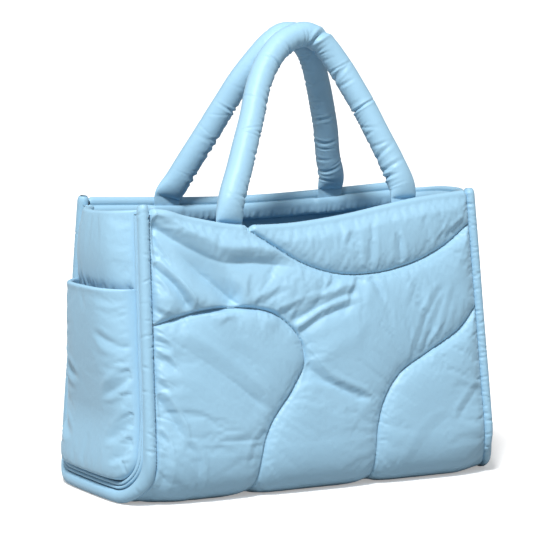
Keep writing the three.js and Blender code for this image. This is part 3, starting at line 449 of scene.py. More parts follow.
def random_folds(rng, line, sides, spacing, length, depth, slant, spread=0.35):
    """Puckers that start on a stitched line: each a short fold that leaves it at about a right angle."""
    marks = length_along(line)
    found = []
    at = rng.uniform(0, spacing)
    while at < marks[-1]:
        here = np.array([np.interp(at, marks, line[:, k]) for k in (0, 1)])
        ahead = np.array([np.interp(min(at + 2, marks[-1]), marks, line[:, k]) for k in (0, 1)]) - here
        if np.linalg.norm(ahead) > 1e-6:
            ahead /= np.linalg.norm(ahead)
            side = rng.choice(sides)
            angle = math.pi / 2 * side + slant * side + rng.normal(0, spread)
            turned = np.array([
                ahead[0] * math.cos(angle) - ahead[1] * math.sin(angle),
                ahead[0] * math.sin(angle) + ahead[1] * math.cos(angle),
            ])
            far = length * rng.lognormal(0, 0.45)
            bend = np.array([-turned[1], turned[0]]) * far * rng.normal(0, 0.08)
            strength = depth * rng.uniform(0.35, 1.15)
            points = np.array([here, here + turned * far / 2 + bend, here + turned * far])
            found.append((
                {"rise": -strength, "left": rng.uniform(0.7, 1.5), "right": rng.uniform(0.9, 2.6),
                 "fade": (0.8, far * 0.9), "swell": PUCKER_SWELL},
                smooth_curve(points, 4),
            ))
        at += spacing * rng.uniform(0.35, 1.6)
    return found


def refine(values, times):
    """A grid of values with times as many cells each way, on smooth curves through the old ones."""
    for _ in range(2):
        n = values.shape[0]
        at = np.arange((n - 1) * times + 1) / times
        i = np.minimum(at.astype(int), n - 2)
        t = (at - i).reshape([-1] + [1] * (values.ndim - 1))
        p0, p1 = values[np.maximum(i - 1, 0)], values[i]
        p2, p3 = values[i + 1], values[np.minimum(i + 2, n - 1)]
        values = p1 + 0.5 * t * (p2 - p0 + t * (2 * p0 - 5 * p1 + 4 * p2 - p3 + t * (3 * (p1 - p2) + p3 - p0)))
        values = np.swapaxes(values, 0, 1)
    return values


def blur(values, cells):
    """A grid of values, each taken from its neighbours within about that many cells."""
    reach = int(3 * cells)
    weights = np.exp(-0.5 * (np.arange(-reach, reach + 1) / cells) ** 2)
    weights /= weights.sum()
    for _ in range(2):
        padded = np.pad(values, [(reach, reach)] + [(0, 0)] * (values.ndim - 1), mode="edge")
        values = sum(w * padded[k:k + values.shape[0]] for k, w in enumerate(weights))
        values = np.swapaxes(values, 0, 1)
    return values


# A simulated sheet has 100 mm to one of Blender's units.
CLOTH_SCALE = 0.01
CLOTH = {"quality": 5, "mass": 0.2, "tension_stiffness": 20, "compression_stiffness": 20, "shear_stiffness": 8,
         "bending_stiffness": 0.5, "air_damping": 3, "pin_stiffness": 1}


def simulate_sheet(flat, held, spare, pressure, frames=24):
    """Blender's cloth on a stitched-down sheet: flat holds (columns, rows, 3) places in mm, held marks the
    stitched ones, spare is the share of cloth that the sheet has beyond its own size. Gives the new places."""
    columns, rows = flat.shape[:2]
    points = flat.reshape(-1, 3) * CLOTH_SCALE
    number = np.arange(columns * rows).reshape(columns, rows)
    faces = np.stack([number[:-1, :-1], number[1:, :-1], number[1:, 1:], number[:-1, 1:]], axis=-1).reshape(-1, 4)
    mesh = bpy.data.meshes.new("sheet")
    mesh.from_pydata(points.tolist(), [], faces.tolist())
    sheet = bpy.data.objects.new("sheet", mesh)
    bpy.context.scene.collection.objects.link(sheet)
    group = sheet.vertex_groups.new(name="stitched")
    group.add([int(k) for k in np.flatnonzero(held.ravel())], 1.0, "REPLACE")
    cloth = sheet.modifiers.new("cloth", "CLOTH")
    settings = cloth.settings
    for key, value in CLOTH.items():
        setattr(settings, key, value)
    settings.vertex_group_mass = "stitched"
    settings.shrink_min = -spare
    settings.use_pressure = True
    settings.uniform_pressure_force = pressure
    settings.effector_weights.gravity = 0
    cloth.collision_settings.use_collision = False
    cloth.point_cache.frame_start = 1
    cloth.point_cache.frame_end = frames
    for f in range(1, frames + 1):
        bpy.context.scene.frame_set(f)
    shaped = sheet.evaluated_get(bpy.context.evaluated_depsgraph_get()).to_mesh()
    found = np.zeros(len(points) * 3, np.float32)
    shaped.vertices.foreach_get("co", found)
    bpy.data.objects.remove(sheet)
    bpy.data.meshes.remove(mesh)
    bpy.context.scene.frame_set(1)
    return found.reshape(columns, rows, 3).astype(float) / CLOTH_SCALE


# Meshes.

def mesh_piece(name, points, faces, material, lining=None, lined=None):
    mesh = bpy.data.meshes.new(name)
    mesh.from_pydata((np.asarray(points) * MM).tolist(), [], faces)
    mesh.materials.append(material)
    if lining is not None:
        mesh.materials.append(lining)
        mesh.polygons.foreach_set("material_index", np.asarray(lined, np.int32))
    mesh.polygons.foreach_set("use_smooth", np.ones(len(mesh.polygons), bool))
    mesh.update()
    piece = bpy.data.objects.new(name, mesh)
    bpy.context.scene.collection.objects.link(piece)
    return piece


def ring_faces(count, size):
    """Quads between closed rings of points, one ring after the other."""
    a = np.arange(count * size).reshape(count, size)
    b = np.roll(a, -1, axis=1)
    return np.stack([a[:-1], b[:-1], b[1:], a[1:]], axis=-1).reshape(-1, 4).tolist()


def cap_faces(start, size, flip):
    """A ring's cap, for a ring whose second half runs back beside its first half."""
    faces = []
    for k in range((size - 2) // 2):
        quad = [start + k, start + k + 1, start + size - 2 - k, start + size - 1 - k]
        faces.append(quad[::-1] if flip else quad)
    if size % 2:
        k = (size - 2) // 2
        last = [start + k, start + k + 1, start + k + 2]
        faces.append(last[::-1] if flip else last)
    return faces


def faces_out(points, faces):
    """The faces turned so that the closed form they make faces out."""
    p = np.asarray(points, float)
    quads = np.array([f if len(f) == 4 else f + f[-1:] for f in faces])
    a, b, c, d = (p[quads[:, k]] for k in range(4))
    volume = np.einsum("ij,ij->i", a, np.cross(b, c)).sum() + np.einsum("ij,ij->i", a, np.cross(c, d)).sum()
    return [f[::-1] for f in faces] if volume < 0 else faces


def ring_piece(name, rings, material, lining=None, lined=None):
    """Closed rings skinned one to the next, with a cap on each end. lined marks a ring's steps that are lining."""
    rings = np.asarray(rings, float)
    count, size = rings.shape[:2]
    points = rings.reshape(-1, 3)
    skin = ring_faces(count, size)
    caps = cap_faces(0, size, False) + cap_faces((count - 1) * size, size, True)
    faces = faces_out(points, skin + caps)
    index = None
    if lining is not None:
        index = np.concatenate([np.tile(np.asarray(lined, np.int32), count - 1), np.ones(len(caps), np.int32)])
    return mesh_piece(name, points, faces, material, lining, index)


def finish_piece(piece, slot, *nodes, fill=None):
    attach(piece, "root")
    if nodes:
        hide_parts(*nodes)
    return piece


# Materials.

class Nodes:
    """A short way to make and join a material's nodes."""

    def __init__(self, name):
        self.material = bpy.data.materials.new(name)
        self.material.use_nodes = True
        self.tree = self.material.node_tree
        self.shader = self.tree.nodes["Principled BSDF"]

    def add(self, kind, inputs=None, **settings):
        node = self.tree.nodes.new(kind)
        for key, value in settings.items():
            setattr(node, key, value)
        for key, value in (inputs or {}).items():
            if isinstance(value, bpy.types.NodeSocket):
                self.tree.links.new(value, node.inputs[key])
            else:
                node.inputs[key].default_value = value
        return node

    def link(self, socket, name):
        self.tree.links.new(socket, self.shader.inputs[name])

    def shade(self, values):
        for key, value in values.items():
            self.shader.inputs[key].default_value = value


def nylon(name, colour, deep, roughness=0.46, crinkle=0.35, sheen=0.2):
    """Thin calendered nylon over filling: small soft crinkles, a fine plain weave and a soft sheen."""
    n = Nodes(name)
    place = n.add("ShaderNodeTexCoord").outputs["Object"]
    patches = n.add("ShaderNodeTexNoise", {"Vector": place, "Scale": 9.0, "Detail": 3.0, "Roughness": 0.55})
    tone = n.add("ShaderNodeMix", {"Factor": patches.outputs["Fac"]}, data_type="RGBA")
    tone.inputs[6].default_value = (*deep, 1)
    tone.inputs[7].default_value = (*colour, 1)
    n.link(tone.outputs[2], "Base Color")
    n.shade({"Roughness": roughness, "Specular IOR Level": 0.34, "Sheen Weight": sheen, "Sheen Roughness": 0.45,
             "Sheen Tint": (0.8, 0.92, 1.0, 1)})
    wrinkles = n.add("ShaderNodeTexNoise", {"Vector": place, "Scale": 70.0, "Detail": 5.0, "Roughness": 0.6,
                                           "Distortion": 0.6})
    grain = n.add("ShaderNodeTexNoise", {"Vector": place, "Scale": 1400.0, "Detail": 2.0})
    coarse = n.add("ShaderNodeBump", {"Height": wrinkles.outputs["Fac"], "Strength": crinkle, "Distance": 0.0012})
    fine = n.add("ShaderNodeBump", {"Height": grain.outputs["Fac"], "Strength": 0.12, "Distance": 0.0002,
                                   "Normal": coarse.outputs["Normal"]})
    n.link(fine.outputs["Normal"], "Normal")
    return n.material


# Dark blue thread: its darkness is partly the thread's own colour and partly painted shade for the grooves that
# the stitches lie in.
def thread_and_groove_shade_material():
    n = Nodes("sewing_thread_and_groove_shade")
    place = n.add("ShaderNodeTexCoord").outputs["Object"]
    twist = n.add("ShaderNodeTexNoise", {"Vector": place, "Scale": 2600.0, "Detail": 1.0})
    tone = n.add("ShaderNodeValToRGB", {"Fac": twist.outputs["Fac"]})
    tone.color_ramp.elements[0].color = (0.05, 0.13, 0.21, 1)
    tone.color_ramp.elements[1].color = (0.11, 0.24, 0.36, 1)
    n.link(tone.outputs["Color"], "Base Color")
    n.shade({"Roughness": 0.6})
    bump = n.add("ShaderNodeBump", {"Height": twist.outputs["Fac"], "Strength": 0.4, "Distance": 0.0001})
    n.link(bump.outputs["Normal"], "Normal")
    return n.material


SHELL = nylon("nylon_shell", (0.36, 0.60, 0.775), (0.325, 0.565, 0.745))
TRIM = nylon("nylon_trim", (0.35, 0.59, 0.765), (0.315, 0.55, 0.73), crinkle=0.5)
GRIP = nylon("nylon_handles", (0.37, 0.61, 0.785), (0.33, 0.57, 0.75), crinkle=0.5)
# The lining is the shell's own cloth, made darker here as painted shade for the bag's shaded inside.
SHADED_LINING = nylon("lining_cloth_painted_shade", (0.27, 0.48, 0.64), (0.24, 0.45, 0.61), roughness=0.6, crinkle=0.6, sheen=0.1)
THREAD_AND_GROOVE_SHADE = thread_and_groove_shade_material()


def edges_of(grid):
    """Marks the places on the four edges of a grid."""
    edges = np.ones(grid.shape, bool)
    edges[1:-1, 1:-1] = False
    return edges


# The quilted walls.

WALL_CELL = 3.6
FINE = 3
CLOTH_SHARE = 0.4
CLOTH_LIMIT = 3
UNEVEN = 0.15
FOOT_FILL = 5.0
NEAR_REACH = 12
FAR_REACH = 45
FLOOR_CLEAR = 0.4
VALLEY_FLOOR = -2.0
OVER_STEPS = 10
INSIDE_STEPS = 44


def wall_heights(x, s, rim, lines, folds):
    """The filling's rise on a wall, with its folds, before any wrinkle that the cloth makes by itself."""
    share = x / wall_edge(s)
    top = rim_along(rim, share)
    to_seam = nearest(lines, x, s)[0]
    to_edge = np.minimum(wall_edge(s) - np.abs(x), s - WALL_START)
    held = np.minimum(to_seam, to_edge)
    rise = PUFF_HEIGHT * (0.5 * puff(held, NEAR_REACH) + 0.6 * puff(held, FAR_REACH))
    folded = sum(fold_rise(fold, line, x, s) for fold, line in folds)
    to_rim = smoothstep(top - s, 0, 15)
    crown = mix(np.minimum(rise, RIM_PUFF), rise, to_rim)
    under = smoothstep(s, WALL_START, ARC_END)
    flattened = np.minimum(crown, BASE_PUFF - SEAM_LEVEL)
    loose = smoothstep(held, 0.3, 4)
    turn = np.clip((s - ARC_START) / FOOT_RADIUS, 0, math.pi / 2)
    foot = FOOT_FILL * np.sin(2 * turn) ** 2 * smoothstep(wall_edge(s) - np.abs(x), 2, 40)
    filled = np.maximum(mix(flattened, crown + folded * loose, under), VALLEY_FLOOR * loose)
    return SEAM_LEVEL + filled + foot, held


def wall_piece(name, side, rim, seams, folds, node, seed):
    """A quilted wall: its face from the cloth simulation, over the rim, and its lining down to the base."""
    rng = np.random.default_rng(seed)
    lines = [flat_line(table) for table in seams]
    long_folds = [(fold, smooth_curve([flat_place(*p) for p in fold["path"]], 6)) for fold in fold_rows(folds)]
    columns = int(round(BAG_WIDTH / WALL_CELL))
    rows = int(round((OUTLINE_LENGTH - WALL_START) / WALL_CELL))
    across = np.linspace(-1, 1, columns + 1)[:, None]
    s = mix(WALL_START, rim_along(rim, across), np.linspace(0, 1, rows + 1)[None, :])
    x = across * wall_edge(s)
    distance, on_x, on_s = nearest(lines, x, s)
    stitched = distance < 0.5 * WALL_CELL
    x, s = np.where(stitched, on_x, x), np.where(stitched, on_s, s)
    held = stitched | edges_of(x)
    height = wall_heights(x, s, rim, lines, long_folds)[0]
    moved = np.zeros(x.shape + (3,))
    flat = np.stack([x, s, 0.7 * height], axis=-1)
    uneven = flat.copy()
    uneven[..., 2] += rng.normal(0, UNEVEN, x.shape) * ~held
    moved = simulate_sheet(uneven, held, spare=0.04, pressure=1.5) - flat
    moved = np.clip(moved - blur(moved, 4), -CLOTH_LIMIT, CLOTH_LIMIT)
    x, s = refine(x, FINE), refine(s, FINE)
    moved = refine(moved, FINE)
    puckers = edge_puckers(rng, lines, rim)
    height, from_held = wall_heights(x, s, rim, lines, long_folds)
    small = sum(fold_rise(fold, line, x, s) for fold, line in puckers)
    free = smoothstep(from_held, 0.3, 6)
    near = smoothstep(from_held, 0.2, 1.6)
    height = height + free * CLOTH_SHARE * moved[..., 2] + near * small * smoothstep(s, WALL_START, ARC_START + 20)
    x = x + CLOTH_SHARE * free * moved[..., 0]
    s = s + CLOTH_SHARE * free * moved[..., 1]
    face = wall_place(side, rim, x * (1 + 2 * FIT_GAP / wall_edge(s)), s, height)
    face[..., 2] = np.maximum(face[..., 2], FLOOR_CLEAR)
    return close_wall(name, face, x, s, height, side, rim, node)


def close_wall(name, face, x, s, height, side, rim, node):
    """Rounds a wall's face over the rim and closes it with the lining."""
    rim_x, rim_s, rim_h = x[:, -1], s[:, -1], height[:, -1]
    middle, radius = (rim_h - WALL_INNER) / 2, (rim_h + WALL_INNER) / 2
    over = []
    for turn in np.linspace(0, 1, OVER_STEPS)[1:-1]:
        angle = turn * math.pi
        up, out = radius * math.sin(angle), middle + radius * math.cos(angle)
        over.append(wall_place(side, rim, rim_x, rim_s + up, out))
    inside = []
    columns = np.linspace(-1, 1, len(rim_x))
    for t in np.linspace(0, 1, INSIDE_STEPS):
        at = mix(rim_s, WALL_START, t)
        ripple = 0.8 * np.sin(at / 17 + 2.3 * np.sin(columns * 5)) * np.sin(columns * 23 + at / 31)
        depth = -WALL_INNER + ripple * smoothstep(t, 0.1, 0.3) * (1 - smoothstep(t, 0.75, 0.95))
        inside.append(wall_place(side, rim, columns * wall_edge(at), at, depth))
    rings = np.concatenate([face, np.stack(over, axis=1), np.stack(inside, axis=1)], axis=1)
    outside = face.shape[1] + len(over)
    lined = np.zeros(rings.shape[1], np.int32)
    lined[outside:-1] = 1
    piece = ring_piece(name, rings, SHELL, SHADED_LINING, lined)
    return finish_piece(piece, "quilted_shell", node, fill=0.75)


def edge_puckers(rng, lines, rim):
    """The short puckers along a wall's quilting and along its two ends."""
    found = []
    for line in lines:
        found += random_folds(rng, line, [-1, 1], 5.0, 9, 0.6, 0.0)
    for end in (-1, 1):
        top = float(rim_along(rim, end))
        at = np.linspace(ARC_START + 10, top - 4, 60)
        line = np.stack([end * wall_edge(at), at], axis=1)
        found += random_folds(rng, line, [end], 6.0, 12, 0.9, 0.75 if end < 0 else 0.35, 0.2)
    return found


# The ends: gussets, pockets, rolls and bindings.

END_COLUMNS = 84
GUSSET_ROWS = 96
POCKET_ROWS = 100
ROLL_SIDES = 24
HANDLE_SIDES = 40


def inset_of(y, z):
    past, below = np.abs(y) - FOOT_Y, FOOT_Z - z
    corner = FOOT_RADIUS - np.hypot(past, below)
    straight = np.minimum((half_depth(z, 0) - np.abs(y)) * math.cos(LEAN), z - SEAM_FLOOR)
    return np.where((past > 0) & (below > 0), corner, straight)


def end_puff(y, z):
    held = inset_of(y, z) - BINDING_INSET
    return 0.45 * puff(held, 5) + 0.55 * puff(held, END_REACH)


def end_bow(y, z):
    share = np.minimum(np.abs(y) / half_depth(z, BINDING_INSET), 1)
    upward = smoothstep(z, SEAM_FLOOR, 0.68 * BAG_HEIGHT)
    held = smoothstep(inset_of(y, z), BINDING_INSET, BINDING_INSET + 2)
    return END_BOW * mix(0.15, 1, upward) * (1 - share**3.4) * held


def gusset_fill(z):
    return GUSSET_PUFF * read_table(GUSSET_FILL, z / BAG_HEIGHT)


def end_rim_height(side, share):
    return BAG_HEIGHT * (1 - read_table(END_RIM[side], share))


def gusset_outer(y, z):
    return GUSSET_INNER + GUSSET_THICKNESS + gusset_fill(z) * end_puff(y, z) + end_bow(y, z)


def pocket_inner(y, z):
    room = POCKET_ROOM * mix(POCKET_LOW, 1, smoothstep(z, 0, POCKET_HEIGHT))
    puffed = (gusset_fill(z) + room) * end_puff(y, z)
    return GUSSET_INNER + GUSSET_THICKNESS + POCKET_GAP + puffed + end_bow(y, z)


def pocket_outer(y, z):
    return pocket_inner(y, z) + mix(POCKET_EDGE, POCKET_THICKNESS, end_puff(y, z))


def end_grid(top_of, rows):
    """A grid of an end's places from front to back and from the floor up, crowded towards its sides."""
    share = np.sin(np.pi / 2 * np.linspace(-1, 1, END_COLUMNS + 1))[:, None]
    z = mix(SEAM_FLOOR + BINDING_INSET, top_of(share), np.linspace(0, 1, rows + 1)[None, :])
    return share * half_depth(z, BINDING_INSET), z


def end_place(side, y, z, out):
    return np.stack([side * (half_width(np.minimum(z, BAG_HEIGHT)) + foot_bow(y, z) + out), y, z], axis=-1)


def end_piece(name, side, y, z, out, back, rim, node, fill):
    """An end's sheet closed over its top and down its back."""
    face = end_place(side, y, z, out)
    top_y, top_z, middle, half = y[:, -1], z[:, -1], (out[:, -1] + back[:, -1]) / 2, (out[:, -1] - back[:, -1]) / 2
    over = []
    for turn in np.linspace(0, 1, 8)[1:-1]:
        angle = turn * math.pi
        over.append(end_place(side, top_y, top_z + rim * math.sin(angle), middle + half * math.cos(angle)))
    behind = end_place(side, y[:, ::-3], z[:, ::-3], back[:, ::-3])
    rings = np.concatenate([face, np.stack(over, axis=1), behind], axis=1)
    lined = np.zeros(rings.shape[1], np.int32)
    lined[face.shape[1] + len(over):-1] = 1
    return finish_piece(ring_piece(name, rings, SHELL, SHADED_LINING, lined), "quilted_shell", node, fill=fill)


def end_detail(y, z, height, held, spare, pressure, seed, puckers):
    """The wrinkles of an end's sheet: the cloth simulation's, and puckers that start at its sides."""
    rng = np.random.default_rng(seed)
    detail = np.zeros(y.shape)
    flat = np.stack([y, z, 0.6 * (height - end_bow(y, z))], axis=-1)
    uneven = flat.copy()
    uneven[..., 2] += rng.normal(0, UNEVEN, y.shape) * ~held
    moved = (simulate_sheet(uneven, held, spare, pressure, frames=20) - flat)[..., 2]
    detail = CLOTH_SHARE * np.clip(moved - blur(moved, 4), -CLOTH_LIMIT, CLOTH_LIMIT)
    for fold, line in puckers(rng):
        detail = detail + fold_rise(fold, line, y, z)
    return detail


def side_line(inset, low, high, side):
    z = np.linspace(low, high, 40)
    return np.stack([side * half_depth(z, inset), z], axis=1)


def gusset_piece(word, side, seed):
    y, z = end_grid(lambda share: end_rim_height(side, share), GUSSET_ROWS)
    height = gusset_outer(y, z)
    held = edges_of(y) | (z < POCKET_HEIGHT - 26)

    def puckers(rng):
        found = []
        for end in (-1, 1):
            line = side_line(BINDING_INSET, POCKET_HEIGHT - 10, BAG_HEIGHT - 10, end)
            found += random_folds(rng, line, [end], 7, 13, 1.2, 0.3)
        tuck = np.stack([np.linspace(-66, 66, 30), np.full(30, POCKET_HEIGHT - 5)], axis=1)
        found += random_folds(rng, tuck, [1], 6, 20, 2.8, 0.0, 0.25)
        return found

    detail = end_detail(y, z, height, held, 0.05, 1.2, seed, puckers)
    room = smoothstep(z, POCKET_HEIGHT - 24, POCKET_HEIGHT + 6)
    loose = smoothstep(inset_of(y, z) - BINDING_INSET, 0, 6)
    out = height + detail * room * loose
    back = GUSSET_INNER + end_bow(y, z)
    y, z, out, back = with_margin(y, z, out, back)
    return end_piece(word + "_end_panel", side, y, z, out, back, GUSSET_RIM, word + "_gusset", 0.6)


def with_margin(y, z, out, back):
    """Adds a gusset's flat margin under the binding, outside its grid's sides and foot."""
    depth = half_depth(z[0], GUSSET_INSET)
    y = np.concatenate([-depth[None], y, depth[None]])
    z, out, back = (np.concatenate([v[:1], v, v[-1:]]) for v in (z, out, back))
    foot = y[:, :1].copy()
    foot[1:-1] = foot[1:-1] * (FOOT_Y - 4) / FOOT_Y
    foot[[0, -1]] = np.sign(foot[[0, -1]]) * FOOT_Y
    y = np.concatenate([foot, y], axis=1)
    z = np.concatenate([np.full(foot.shape, SEAM_FLOOR + GUSSET_INSET), z], axis=1)
    out, back = (np.concatenate([v[:, :1], v], axis=1) for v in (out, back))
    return y, z, out, back


def pocket_piece(word, side, seed):
    y, z = end_grid(lambda share: POCKET_HEIGHT + 0 * share, POCKET_ROWS)
    height = pocket_outer(y, z)

    def puckers(rng):
        found = []
        for end in (-1, 1):
            line = side_line(BINDING_INSET, SEAM_FLOOR + 46, POCKET_HEIGHT - 4, end)
            found += random_folds(rng, line, [end], 5, 13, 1.8, 0.25)
            line = side_line(BINDING_INSET, SEAM_FLOOR + 24, SEAM_FLOOR + 60, end)
            found += random_folds(rng, line, [end], 6, 16, 2.0, -0.2)
        for fold in fold_rows(POCKET_FOLDS):
            points = [(share * half_depth(up, BINDING_INSET), up) for share, up in fold["path"]]
            found.append((fold, smooth_curve(points, 6)))
        return found

    detail = end_detail(y, z, height, edges_of(y), 0.06, 1.5, seed, puckers)
    near_mouth = smoothstep(z, POCKET_HEIGHT - 12, POCKET_HEIGHT)
    loose = smoothstep(inset_of(y, z) - BINDING_INSET, 0, 5) * (1 - 0.7 * near_mouth)
    out = height + detail * loose
    back = np.minimum(pocket_inner(y, z), out - 1.2)
    return end_piece(word + "_slip_pocket", side, y, z, out, back, POCKET_RIM, word + "_pocket", 0.55)


def u_stations(step, ends):
    """Distances along an end's whole U, below 0 on the front half, and the side that each is on."""
    reach = OUTLINE_LENGTH - ends
    s = np.linspace(-reach, reach, int(2 * reach / step) + 1)
    return np.abs(s), np.sign(s) + (s == 0)


def u_place(s, front, end, out, offset):
    s, front, out, offset = np.broadcast_arrays(s, front, out, offset)
    y, z, out_y, out_z = outline(s)
    y, place_z = y + offset * out_y, z + offset * out_z
    return np.stack([end * (half_width(z) + foot_bow(y, place_z) + out), front * y, place_z], axis=-1)


CREASE_LEAN = 0.25
CREASE_SWELL = 0.35


def tube_creases(rng, length, spacing, depth, centre=None, spread=1.2, width=(0.8, 1.8)):
    """Creases across a tube, each on one part of its round: place, angle, reach round the tube, depth, width."""
    found = []
    at = rng.uniform(0, spacing)
    while at < length:
        found.append({
            "at": at,
            "angle": rng.uniform(0, 2 * math.pi) if centre is None else centre + rng.normal(0, 0.5),
            "spread": spread * rng.uniform(0.5, 1.3),
            "depth": depth * rng.uniform(0.3, 1.2),
            "width": rng.uniform(*width),
            "lean": rng.normal(0, CREASE_LEAN),
        })
        at += spacing * rng.uniform(0.3, 1.7)
    return found


def ring_angles(sides):
    return np.arange(sides)[None, :] * 2 * math.pi / sides


def crease_depth(creases, along, angle, radius):
    total = np.zeros(np.broadcast(along, angle).shape)
    for c in creases:
        turn = (angle - c["angle"] + math.pi) % (2 * math.pi) - math.pi
        away = np.abs(along - c["at"] - c["lean"] * radius * turn)
        share = np.exp(-(turn / c["spread"]) ** 2)
        away = away / c["width"]
        total = total + c["depth"] * share * (np.exp(-away) - CREASE_SWELL * np.exp(-(away - 2.6) ** 2))
    return total


def roll_piece(word, end, seed):
    """The stuffed roll over an end's seam."""
    rng = np.random.default_rng(seed)
    s, front = u_stations(1.2, -ROLL_OVER[end])
    along = (s * front - s[0] * front[0])[:, None]
    angle = ring_angles(ROLL_SIDES)
    reach = along[-1, 0]
    if end < 0:
        creases = tube_creases(rng, reach, 26, 1.0, centre=0.9, spread=0.9, width=(0.6, 1.3))
    else:
        creases = tube_creases(rng, reach, 9, 1.3, centre=2.1, spread=0.9, width=(0.5, 1.2))
    creases += tube_creases(rng, reach, 7, 1.1, centre=2.6, spread=0.6, width=(0.5, 1.2))
    radius = ROLL_RADIUS * (1 + 0.015 * np.sin(along / 23 + seed))
    radius = radius - crease_depth(creases, along, angle, ROLL_RADIUS)
    tip = np.minimum(along, along[-1] - along)
    radius = radius * mix(0.55, 1, puff(tip, ROLL_RADIUS))
    out = GUSSET_INNER + ROLL_FLATNESS * (ROLL_RADIUS + radius * np.cos(angle))
    rings = u_place(s[:, None], front[:, None], end, out, radius * np.sin(angle))
    return finish_piece(ring_piece(word + "_roll", rings, TRIM), "edge_trim", word + "_edge_roll", fill=0.9)


def binding_piece(word, end, seed):
    """The flat binding beside the roll."""
    rng = np.random.default_rng(seed)
    s, front = u_stations(2.0, 5.0)
    near = GUSSET_INNER + GUSSET_THICKNESS + BINDING_GAP
    t = np.linspace(0, 1, 21)
    swell = puff(np.minimum(t, 1 - t), 0.2) * (1 - 0.6 * np.exp(-((t - 0.45) / 0.08) ** 2))
    wave = 0.15 * np.sin(np.arange(len(s)) / 2.1 + rng.uniform(0, 6)) * np.sin(np.arange(len(s)) / 13)
    outer_out = near + 0.6 + BINDING_RISE * swell[None, :] + wave[:, None] * swell[None, :]
    inset = -(GUSSET_INSET + FIT_GAP + BINDING_WIDTH * t)
    face = u_place(s[:, None], front[:, None], end, outer_out, inset[None, :])
    foot = np.array([inset[-1], inset[10], inset[0]])
    back = u_place(s[:, None], front[:, None], end, near, foot[None, :])
    rings = np.concatenate([face, back], axis=1)
    return finish_piece(ring_piece(word + "_binding", rings, TRIM), "edge_trim", word + "_edge_binding")


# The mouth's hem bands.

def tab_room(x, side):
    """How far a hem band stands off at the handles' flat feet."""
    plan = HANDLES["front" if side < 0 else "back"]
    room = np.zeros(np.shape(x))
    for direction in (-1, 1):
        away = np.abs(x - plan["shift"] - direction * plan["spread"] / 2)
        room = np.maximum(room, 1 - smoothstep(away, TAB_WIDTH / 2, TAB_WIDTH / 2 + 7))
    return room * (TAB_THICKNESS + 2 * FIT_GAP)


HEM_UP = np.linspace(0, 1, 11)[None, :]


def hem_fullness(rng, along):
    """A hem band's share of its thickness, from its lower edge up its inner face, with gathers near its edge."""
    section = 0.42 * (1 - HEM_UP) ** 2 + puff(np.minimum(HEM_UP, 1 - HEM_UP) + 0.02, 0.42) * 0.95
    pinch = gathers(rng, along, 6)[:, None]
    return section * (1 - 0.45 * pinch * np.exp(-((HEM_UP - 0.16) / 0.3) ** 2))


def gathers(rng, x, spacing):
    """Small upright gathers along a hem: a share from 0 to 1 at each x."""
    total = np.zeros(x.shape)
    at = x.min()
    while at < x.max():
        total += rng.uniform(0.3, 1.0) * np.exp(-np.abs(x - at) / rng.uniform(0.8, 2.0))
        at += spacing * rng.uniform(0.4, 1.6)
    return np.clip(total, 0, 1.2)


def hem_piece(word, face, behind):
    rings = np.concatenate([face, behind], axis=1)
    return finish_piece(ring_piece(word + "_hem", rings, TRIM), "lining", word + "_hem_band")


def wall_hem(word, side, rim, seed):
    rng = np.random.default_rng(seed)
    share = np.linspace(-1, 1, 241)
    top = (rim_along(rim, share) - HEM_DROP)[:, None]
    s = mix(top - HEM_HEIGHT, top, HEM_UP)
    x = share[:, None] * (half_width(outline(s)[1]) - 2 * FIT_GAP)
    near = -WALL_INNER - FIT_GAP - tab_room(x, side)
    left_over = HEM_THICKNESS - 0.5 * tab_room(x, side)
    face = wall_place(side, rim, x, s, near - left_over * hem_fullness(rng, x[:, 0]))
    behind = wall_place(side, rim, x[:, ::-5], s[:, ::-5], near[:, ::-5])
    return hem_piece(word, face, behind)


def end_hem(word, end, seed):
    rng = np.random.default_rng(seed)
    share = np.sin(np.pi / 2 * np.linspace(-1, 1, 101))
    top = (end_rim_height(end, share) - HEM_DROP)[:, None]
    z = mix(top - HEM_HEIGHT, top, HEM_UP)
    y = share[:, None] * half_depth(z, BINDING_INSET)
    near = GUSSET_INNER - FIT_GAP + end_bow(y, z)
    face = end_place(end, y, z, near - HEM_THICKNESS * hem_fullness(rng, y[:, 0]))
    behind = end_place(end, y[:, ::-5], z[:, ::-5], near[:, ::-5])
    return hem_piece(word, face, behind)


# The handles.

def handle_line(plan):
    """A handle's centre line, from one flat foot over the top to the other."""
    tab_out = -WALL_INNER - FIT_GAP - TAB_THICKNESS / 2 - FIT_GAP / 2
    meet = HANDLE_RADIUS - 0.4 + HANDLE_GAP / 2

    def foot(direction, rise):
        x = plan["shift"] + direction * plan["spread"] / 2
        top = float(rim_along(plan["rim"], x / half_width(BAG_HEIGHT)))
        return wall_place(plan["side"], plan["rim"], np.array(x), np.array(top + rise), tab_out)

    points = [foot(1, rise) for rise in (-TAB_DEPTH, 0, TAB_RISE)]
    for across, up, inward in plan["route"]:
        base = foot(1 if across > 0 else -1, 0)
        points.append(np.array([
            plan["shift"] + across * plan["spread"] / 2,
            mix(base[1], plan["side"] * meet, inward),
            mix(base[2], BAG_HEIGHT + HANDLE_RISE, up),
        ]))
    points += [foot(-1, rise) for rise in (TAB_RISE, 0, -TAB_DEPTH)]
    return even_points(smooth_curve(points, 40), 0.5)


